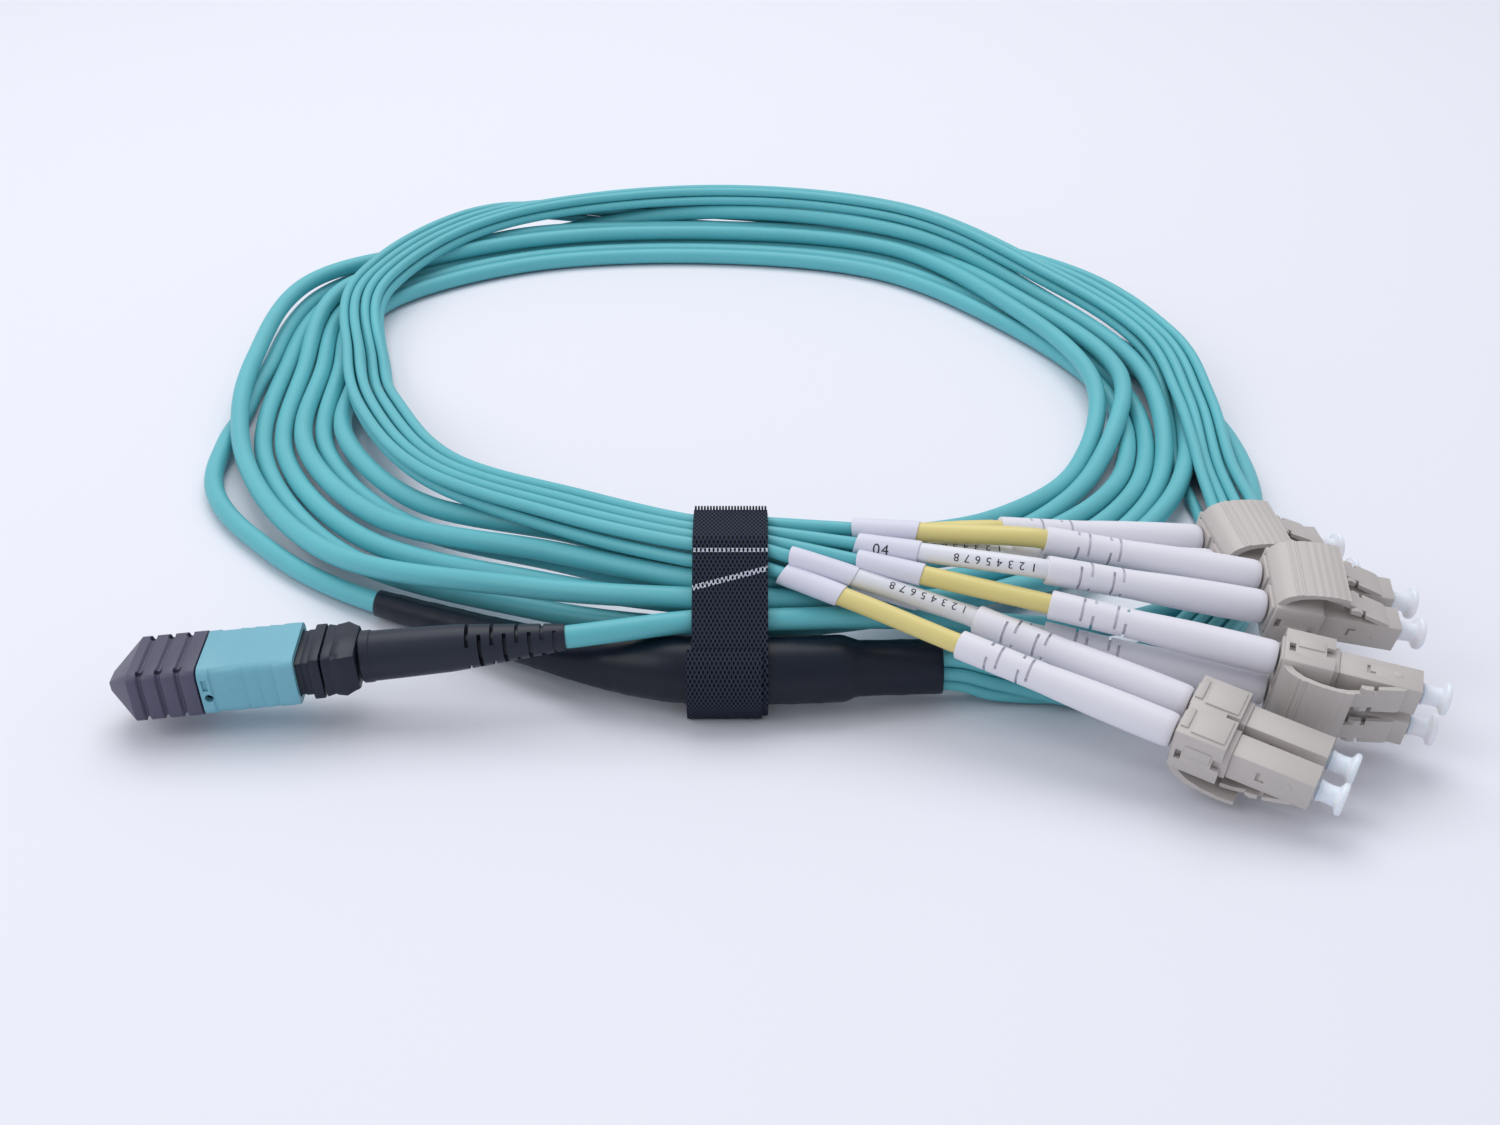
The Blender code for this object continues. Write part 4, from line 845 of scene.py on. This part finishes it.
def plug_cap(number, matrix):
    face = HOUSING_LENGTH + 0.3
    profile = [(0.5, 0.0), (0.5, 0.85), (-7.0, 0.85), (-7.0, 1.3), (0.0, 1.3), (0.0, 1.45), (0.15, 1.55),
               (0.6, 1.4), (1.6, 1.32), (2.5, 1.42), (2.8, 1.9), (2.95, 2.2), (3.15, 2.3), (3.45, 2.3),
               (3.65, 2.2), (3.78, 1.9), (3.8, 1.2), (3.65, 0.6), (3.6, 0.0)]
    bm = spun([(face + x, radius) for x, radius in profile], 40)
    add_piece(f"cap_{number}", bm, "white_cap", matrix, [f"plug_cap_{number}"], f"plug_cap_{number}")


def duplex_clip(pair):
    """Clip round both plugs: an open frame with pads, and the arched trigger with its ridges."""
    frame_block = bmesh.new()
    block(frame_block, (0.6, 7.4), (-6.5, 6.5), (-3.38, 3.38), 0.5, 2)
    holes = []
    for side in (-0.5, 0.5):
        hole = bmesh.new()
        middle = side * PLUG_PITCH
        block(hole, (-1.0, 9.0), (middle - 2.72, middle + 2.72), (-2.72, 2.72), 0.35, 2)
        holes.append(hole)
    gaps = bmesh.new()
    block(gaps, (5.6, 8.5), (-0.35, 0.35), (-4.5, 4.5))
    for side in (-1, 1):
        block(gaps, (1.15, 2.0), sorted((side * 5.6, side * 7.5)), (-0.3, 1.3))
        block(gaps, (6.2, 8.0), sorted((side * 5.7, side * 7.5)), (-0.9, 0.9))
    bm = carved(frame_block, *holes, gaps)
    for side in (-1, 1):
        block(bm, (2.3, 6.9), sorted((side * 0.75, side * 5.7)), (-3.62, -3.30))
        block(bm, (0.62, 1.7), sorted((side * 1.2, side * 5.2)), (-3.60, -3.32))
        block(bm, (2.3, 5.9), sorted((side * 6.40, side * 6.68)), (-1.5, 0.2))
    soften(bm, 0.10, 2, 50)
    top = []
    arch = [(0.6, 2.6), (0.75, 3.7), (1.6, 4.9), (3.3, 5.75), (5.9, 6.3), (8.5, 6.48), (10.5, 6.3)]
    for x, z in even_rows(smooth_rows(arch, 8), 0.14):
        ridge = 0.13 if 2.75 < x < 3.05 or 3.35 < x < 3.65 else (-0.10 if 4.1 < x < 4.25 else 0.0)
        fine = -0.05 if x > 5.2 and int(x / 0.55) % 2 == 0 else 0.0
        top.append((x, z - 0.06 + ridge + fine))
    under = [(10.45, 5.62), (8.4, 5.78), (5.9, 5.58), (3.7, 5.0), (2.4, 4.2), (1.9, 3.5), (1.9, 2.8),
             (1.5, 2.6)]
    profile_solid(bm, top + under, -5.7, 5.7)
    return add_piece(f"clip_{pair}", bm, "beige_plastic", plug_frame(PAIR_PLACES[pair]),
                     [f"duplex_clip_{pair}"], sharp=24)


# ---------------------------------------------------------------- labels
MARKER_PRINT = "1 2 3 4 5 6 7 8"     # plain counting figures
# In degrees: the slant of both ends of each number tube, and how far each print is turned round
# its tube
TUBE_SLANTS = {1: (10, -12), 2: (8, -6), 3: (-8, 12), 4: (12, 8),
               5: (-10, 6), 6: (10, -10), 7: (18, 14), 8: (-14, 16)}
NUMBER_TURNS = {1: -40, 2: 0, 3: 170, 4: -25, 5: 160, 6: 120, 7: 190, 8: 175}
MARKER_TURNS = {2: 28, 4: -20, 6: 25, 8: 8}
SPACER_LEG = 2
SPACER_LENGTH = 9.0


def printed(name, text, height, route, radius, start, flipped=False, angle=0.0):
    """Figures laid round a tube. Start is in mm from the route's first point; the angle turns the
    line round the tube, from the side that looks up and towards -Y."""
    font = bpy.data.curves.new(name, "FONT")
    font.body = text
    font.size = height * 1.35
    font.space_character = 1.15
    letters = linked(name, font)
    bm = evaluated_shape(letters)
    bpy.data.objects.remove(letters, do_unlink=True)
    slice_across(bm, [height * k / 8 for k in range(-1, 10)], (0, 1, 0))
    along = along_of(route)
    ahead_rows = np.gradient(route, axis=0)
    for v in bm.verts:
        x, y = v.co.x, v.co.y - height / 2
        if flipped:
            x, y = -x, -y
        place = np.clip(start + x, 0.0, along[-1])
        middle = Vector([np.interp(place, along, route[:, k]) for k in range(3)])
        ahead = Vector([np.interp(place, along, ahead_rows[:, k]) for k in range(3)]).normalized()
        facing = Vector((0, -0.72, 0.70))
        facing = (facing - ahead * facing.dot(ahead)).normalized()
        upward = facing.cross(ahead)
        turn = y / radius + radians(angle)
        v.co = middle + (facing * cos(turn) + upward * sin(turn)) * (radius + 0.02)
    return add_piece(name, bm, "ink")


def leg_labels(number, route):
    """The marker sleeve next to the boot and the number tube behind it, with plain figures."""
    colour = "yellow_sleeve" if number % 2 else "white_sleeve"
    marker_rear = MARKER_LENGTH + LEG_IN_BOOT
    marker_route = stretch_of(route, marker_rear, 2.0)
    pieces = [add_piece(f"marker_{number}", tube_on(marker_route, MARKER_D / 2, 0.22), colour,
                        stands_for=[f"marker_sleeve_{number}"])]
    tube_front = marker_rear - 0.6
    if number == SPACER_LEG:
        spacer = stretch_of(route, tube_front + SPACER_LENGTH + 0.6, tube_front - 1.0)
        pieces.append(add_piece(f"spacer_sleeve_{number}", tube_on(spacer, 1.42, 0.2), "jacket"))
        tube_front += SPACER_LENGTH
    tube_route = stretch_of(route, tube_front + NUMBER_TUBE_LENGTH, tube_front)
    bm = tube_on(tube_route, NUMBER_TUBE_D / 2, 0.3, TUBE_SLANTS[number])
    pieces.append(add_piece(f"number_tube_{number}", bm, "number_tube"))
    pieces.append(printed(f"number_{number}", f"0{number}", 1.7, tube_route, NUMBER_TUBE_D / 2, 2.9,
                          angle=NUMBER_TURNS[number]))
    if number in MARKER_TURNS:
        pieces.append(printed(f"marker_print_{number}", MARKER_PRINT, 1.25, marker_route, MARKER_D / 2,
                              17.8, flipped=True, angle=MARKER_TURNS[number]))
    return pieces


# ---------------------------------------------------------------- fan-out sleeve and strap
def fanout_sleeve():
    """Heat shrink over the place where the legs leave the trunk, with lips at both cut ends."""
    rows = even_rows(smooth_rows(FANOUT_ROUTE, 8), 0.7)
    turns = [turn.to_matrix().to_4x4() for turn in route_turns(rows)]
    last = len(rows) - 1
    chance = random.Random(4)
    wobble = [chance.uniform(-0.05, 0.05) for _ in rows]

    def ring(i, grow=0.0, tilt=0.0, shift=0.0):
        radius = rows[i][3] + grow + (wobble[i] + wobble[i - 1]) / 2
        lean = Matrix.Rotation(radians(tilt), 4, "Y") @ Matrix.Rotation(radians(tilt * 0.5), 4, "X")
        return (Matrix.Translation(Vector(rows[i][:3])) @ turns[i] @ Matrix.Translation((0, 0, shift)) @ lean
                @ Matrix.Diagonal((radius, radius, 1.0, 1.0)))
    rings = [ring(3, -0.55, 18), ring(0, -0.45, 18), ring(0, -0.1, 18), ring(0, 0, 18, 0.15)]
    rings += [ring(i) for i in range(2, last - 1)]
    rings += [ring(last, 0, -10, -0.15), ring(last, -0.12, -10), ring(last, -0.5, -10),
              ring(last - 5, -0.6, -10)]
    bm = skin(rings, sides=48, cap_first=True, cap_last=True)
    dimple = min(bm.verts, key=lambda v: (v.co - Vector((12.4, -3.6, 3.9))).length)
    for v in bm.verts:
        away = (v.co - dimple.co).length
        if away < 0.9:
            v.co += Vector((0, 0.22, 0.08)) * (1 - away / 0.9)
    add_piece("shrink_sleeve", bm, "heat_shrink", stands_for=["fanout_sleeve"], sharp=50)


def hull_of(points):
    """Corners of the smallest convex outline round (y, z) points, counter-clockwise."""
    points = sorted(set(points))

    def chain(items):
        kept = []
        for p in items:
            while len(kept) > 1:
                (ay, az), (by, bz) = kept[-2], kept[-1]
                if (by - ay) * (p[1] - az) - (bz - az) * (p[0] - ay) > 1e-6:
                    break
                kept.pop()
            kept.append(p)
        return kept[:-1]
    return chain(points) + chain(points[::-1])


def strap_outline(routes):
    """The tape's taut way round everything that it ties: (y, z) points from its lowest one, up the
    front, over the top and down the back to the first again."""
    around = []
    rounds = [(0.0, 6.5, 5.05)]
    for route, radius in routes:
        fine = even_rows(smooth_rows(route, 4), 0.8)
        for x, y, z in fine[(np.abs(fine[:, 0]) < 5.6) & (fine[:, 1] < 40)]:
            rounds.append((y, z, radius))
    for y, z, radius in rounds:
        reach = radius + 0.08
        for k in range(32):
            turn = 2 * pi * k / 32
            around.append((round(y + reach * cos(turn), 3), round(z + reach * sin(turn), 3)))
    around += [(-2.6, 1.05), (2.6, 1.05)]
    hull = hull_of(around)
    lowest = min(range(len(hull)), key=lambda i: (hull[i][1], -hull[i][0]))
    hull = hull[lowest:] + hull[:lowest + 1]
    return even_rows(np.array([(y, z, 0.0) for y, z in hull[::-1]]), 0.22)[:, :2]


def tape(bm, outline, closed, x_from, x_to, thickness):
    """A strip of tape along an outline, with a wall; its UV map is in millimetres."""
    def key(vert):
        return round(vert.co.y, 4), round(vert.co.z, 4)
    layer = bm.loops.layers.uv.get("tape") or bm.loops.layers.uv.new("tape")
    along = along_of(outline)
    whole = along[-1]
    verts = [bm.verts.new((x_from, y, z)) for y, z in (outline[:-1] if closed else outline)]
    reached = {key(v): along[i] for i, v in enumerate(verts)}
    pairs = list(zip(verts, verts[1:])) + ([(verts[-1], verts[0])] if closed else [])
    edges = [bm.edges.new(pair) for pair in pairs]
    columns = 16
    faces = []
    for _ in range(columns):
        verts, edges, new_faces = extruded(bm, edges)
        faces += new_faces
        bmesh.ops.translate(bm, verts=verts, vec=((x_to - x_from) / columns, 0, 0))
    for face in faces:
        values = [reached[key(loop.vert)] for loop in face.loops]
        for loop, value in zip(face.loops, values):
            if max(values) - min(values) > whole / 2 and value < whole / 2:
                value += whole
            loop[layer].uv = (loop.vert.co.x - x_from, value)
    bmesh.ops.recalc_face_normals(bm, faces=faces)
    middle = Vector((0, outline[:, 0].mean(), outline[:, 1].mean()))
    if faces[0].normal.dot(faces[0].calc_center_median() - middle) < 0:
        bmesh.ops.reverse_faces(bm, faces=faces)
    bmesh.ops.solidify(bm, geom=faces, thickness=-thickness)


def outset(outline, distance):
    """An outline moved outwards."""
    way = np.gradient(outline, axis=0)
    way /= np.maximum(np.linalg.norm(way, axis=1), 1e-9)[:, None]
    return outline + np.stack([way[:, 1], -way[:, 0]], axis=1) * distance


def strap(routes):
    """The hook-and-loop tape: one layer all round, its end lapped over the front, and frayed edges."""
    outline = strap_outline(routes)
    bm = bmesh.new()
    tape(bm, outline, True, -STRAP_WIDTH / 2, STRAP_WIDTH / 2, 0.62)
    # The lapped end runs from the lowest point a little way up the front.
    edge = int(np.searchsorted(along_of(outline), LAP_REACH))
    lap = outset(outline[:edge], -0.66)
    tape(bm, lap, False, -STRAP_WIDTH / 2 - 0.75, STRAP_WIDTH / 2 - 0.85, 0.45)
    add_piece("hook_and_loop_strap", bm, "strap_weave", stands_for=["strap"], sharp=60)
    chance = random.Random(11)
    fray = bmesh.new()
    for y, z in outline:
        for side in (-1, 1):
            for _ in range(2):
                base = Vector((side * STRAP_WIDTH / 2,
                               y + chance.uniform(-0.3, 0.3), z + chance.uniform(-0.3, 0.3)))
                lie = (Matrix.Translation(base) @ Matrix.Rotation(side * pi / 2, 4, "Y")
                       @ Matrix.Rotation(chance.uniform(-0.9, 0.9), 4, "X")
                       @ Matrix.Rotation(chance.uniform(-0.9, 0.9), 4, "Y"))
                length = chance.uniform(0.15, 0.5)
                bmesh.ops.create_cone(fray, segments=3, radius1=0.05, radius2=0.0, depth=length,
                                      cap_ends=True, matrix=lie)
    top = max(range(len(outline)), key=lambda i: outline[i][1] * 0.8 + outline[i][0] * 0.6)
    for k in range(24):
        x = -STRAP_WIDTH / 2 + 0.25 + k * 0.455
        y, z = outline[top]
        block(fray, (x - 0.15, x + 0.15), (y - 0.1, y + 0.4), (z + 0.3, z + 1.2))
    add_piece("strap_fray", fray, "strap_thread")


# ---------------------------------------------------------------- stage
def add_stage():
    bpy.ops.mesh.primitive_plane_add(size=6.0, location=(0, 0.5, -0.0002))
    table = bpy.context.active_object
    table.name = "table"
    table.data.materials.append(principled("table_top", (0.80, 0.81, 0.87), 0.55))
    world = bpy.data.worlds.new("studio")
    world.use_nodes = True
    world.node_tree.nodes["Background"].inputs["Color"].default_value = (0.86, 0.88, 0.95, 1.0)
    world.node_tree.nodes["Background"].inputs["Strength"].default_value = 0.66
    bpy.context.scene.world = world
    for name, place, target, size, power in (
            ("softbox_top", (-0.05, 0.45, 0.85), (0, 0.10, 0), 0.8, 4.5),
            ("softbox_left", (-0.65, -0.25, 0.60), (0, 0.05, 0), 0.5, 1.6)):
        data = bpy.data.lights.new(name, "AREA")
        data.size = size
        data.energy = power
        light = linked(name, data)
        light.location = place
        light.rotation_euler = (Vector(target) - Vector(place)).to_track_quat("-Z", "Y").to_euler()
    bpy.context.scene.view_settings.view_transform = "Standard"


def main():
    add_camera()
    trunk, legs = settled_strands()
    trunk_cord, trunk_points = cord_object("trunk_cable", trunk, TRUNK_D)
    leg_cords = {number: cord_object(f"leg_cable_{number}", route, LEG_D) for number, route in legs.items()}
    for cord in [trunk_cord] + [pair[0] for pair in leg_cords.values()]:
        cord.data.materials.append(LOOKS["jacket"])
        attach(cord, "cable")
    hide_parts("trunk_lead", "trunk_coil", "trunk_tail")

    multi = plug_frame(MPO_PLACE)
    multi_fibre_boot(multi)
    crimp_nut(multi)
    plug_body(multi)
    pull_sleeve(multi)
    multi_fibre_cap(multi)

    clips = {pair: duplex_clip(pair) for pair in PAIR_PLACES}
    for number, (cord, points) in leg_cords.items():
        matrix = plug_in_pair(number)
        pieces = [slotted_boot(number, matrix)] + plug_housing(number, matrix)
        plug_cap(number, matrix)
        pieces += leg_labels(number, legs[number])
        if number % 2:
            pieces.append(clips[LEGS[number][0]])
        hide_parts(f"leg_{number}", "leg_coil")

    fanout_sleeve()
    strap([(trunk, TRUNK_D / 2)] + [(route, LEG_D / 2) for route in legs.values()])
    add_stage()


main()
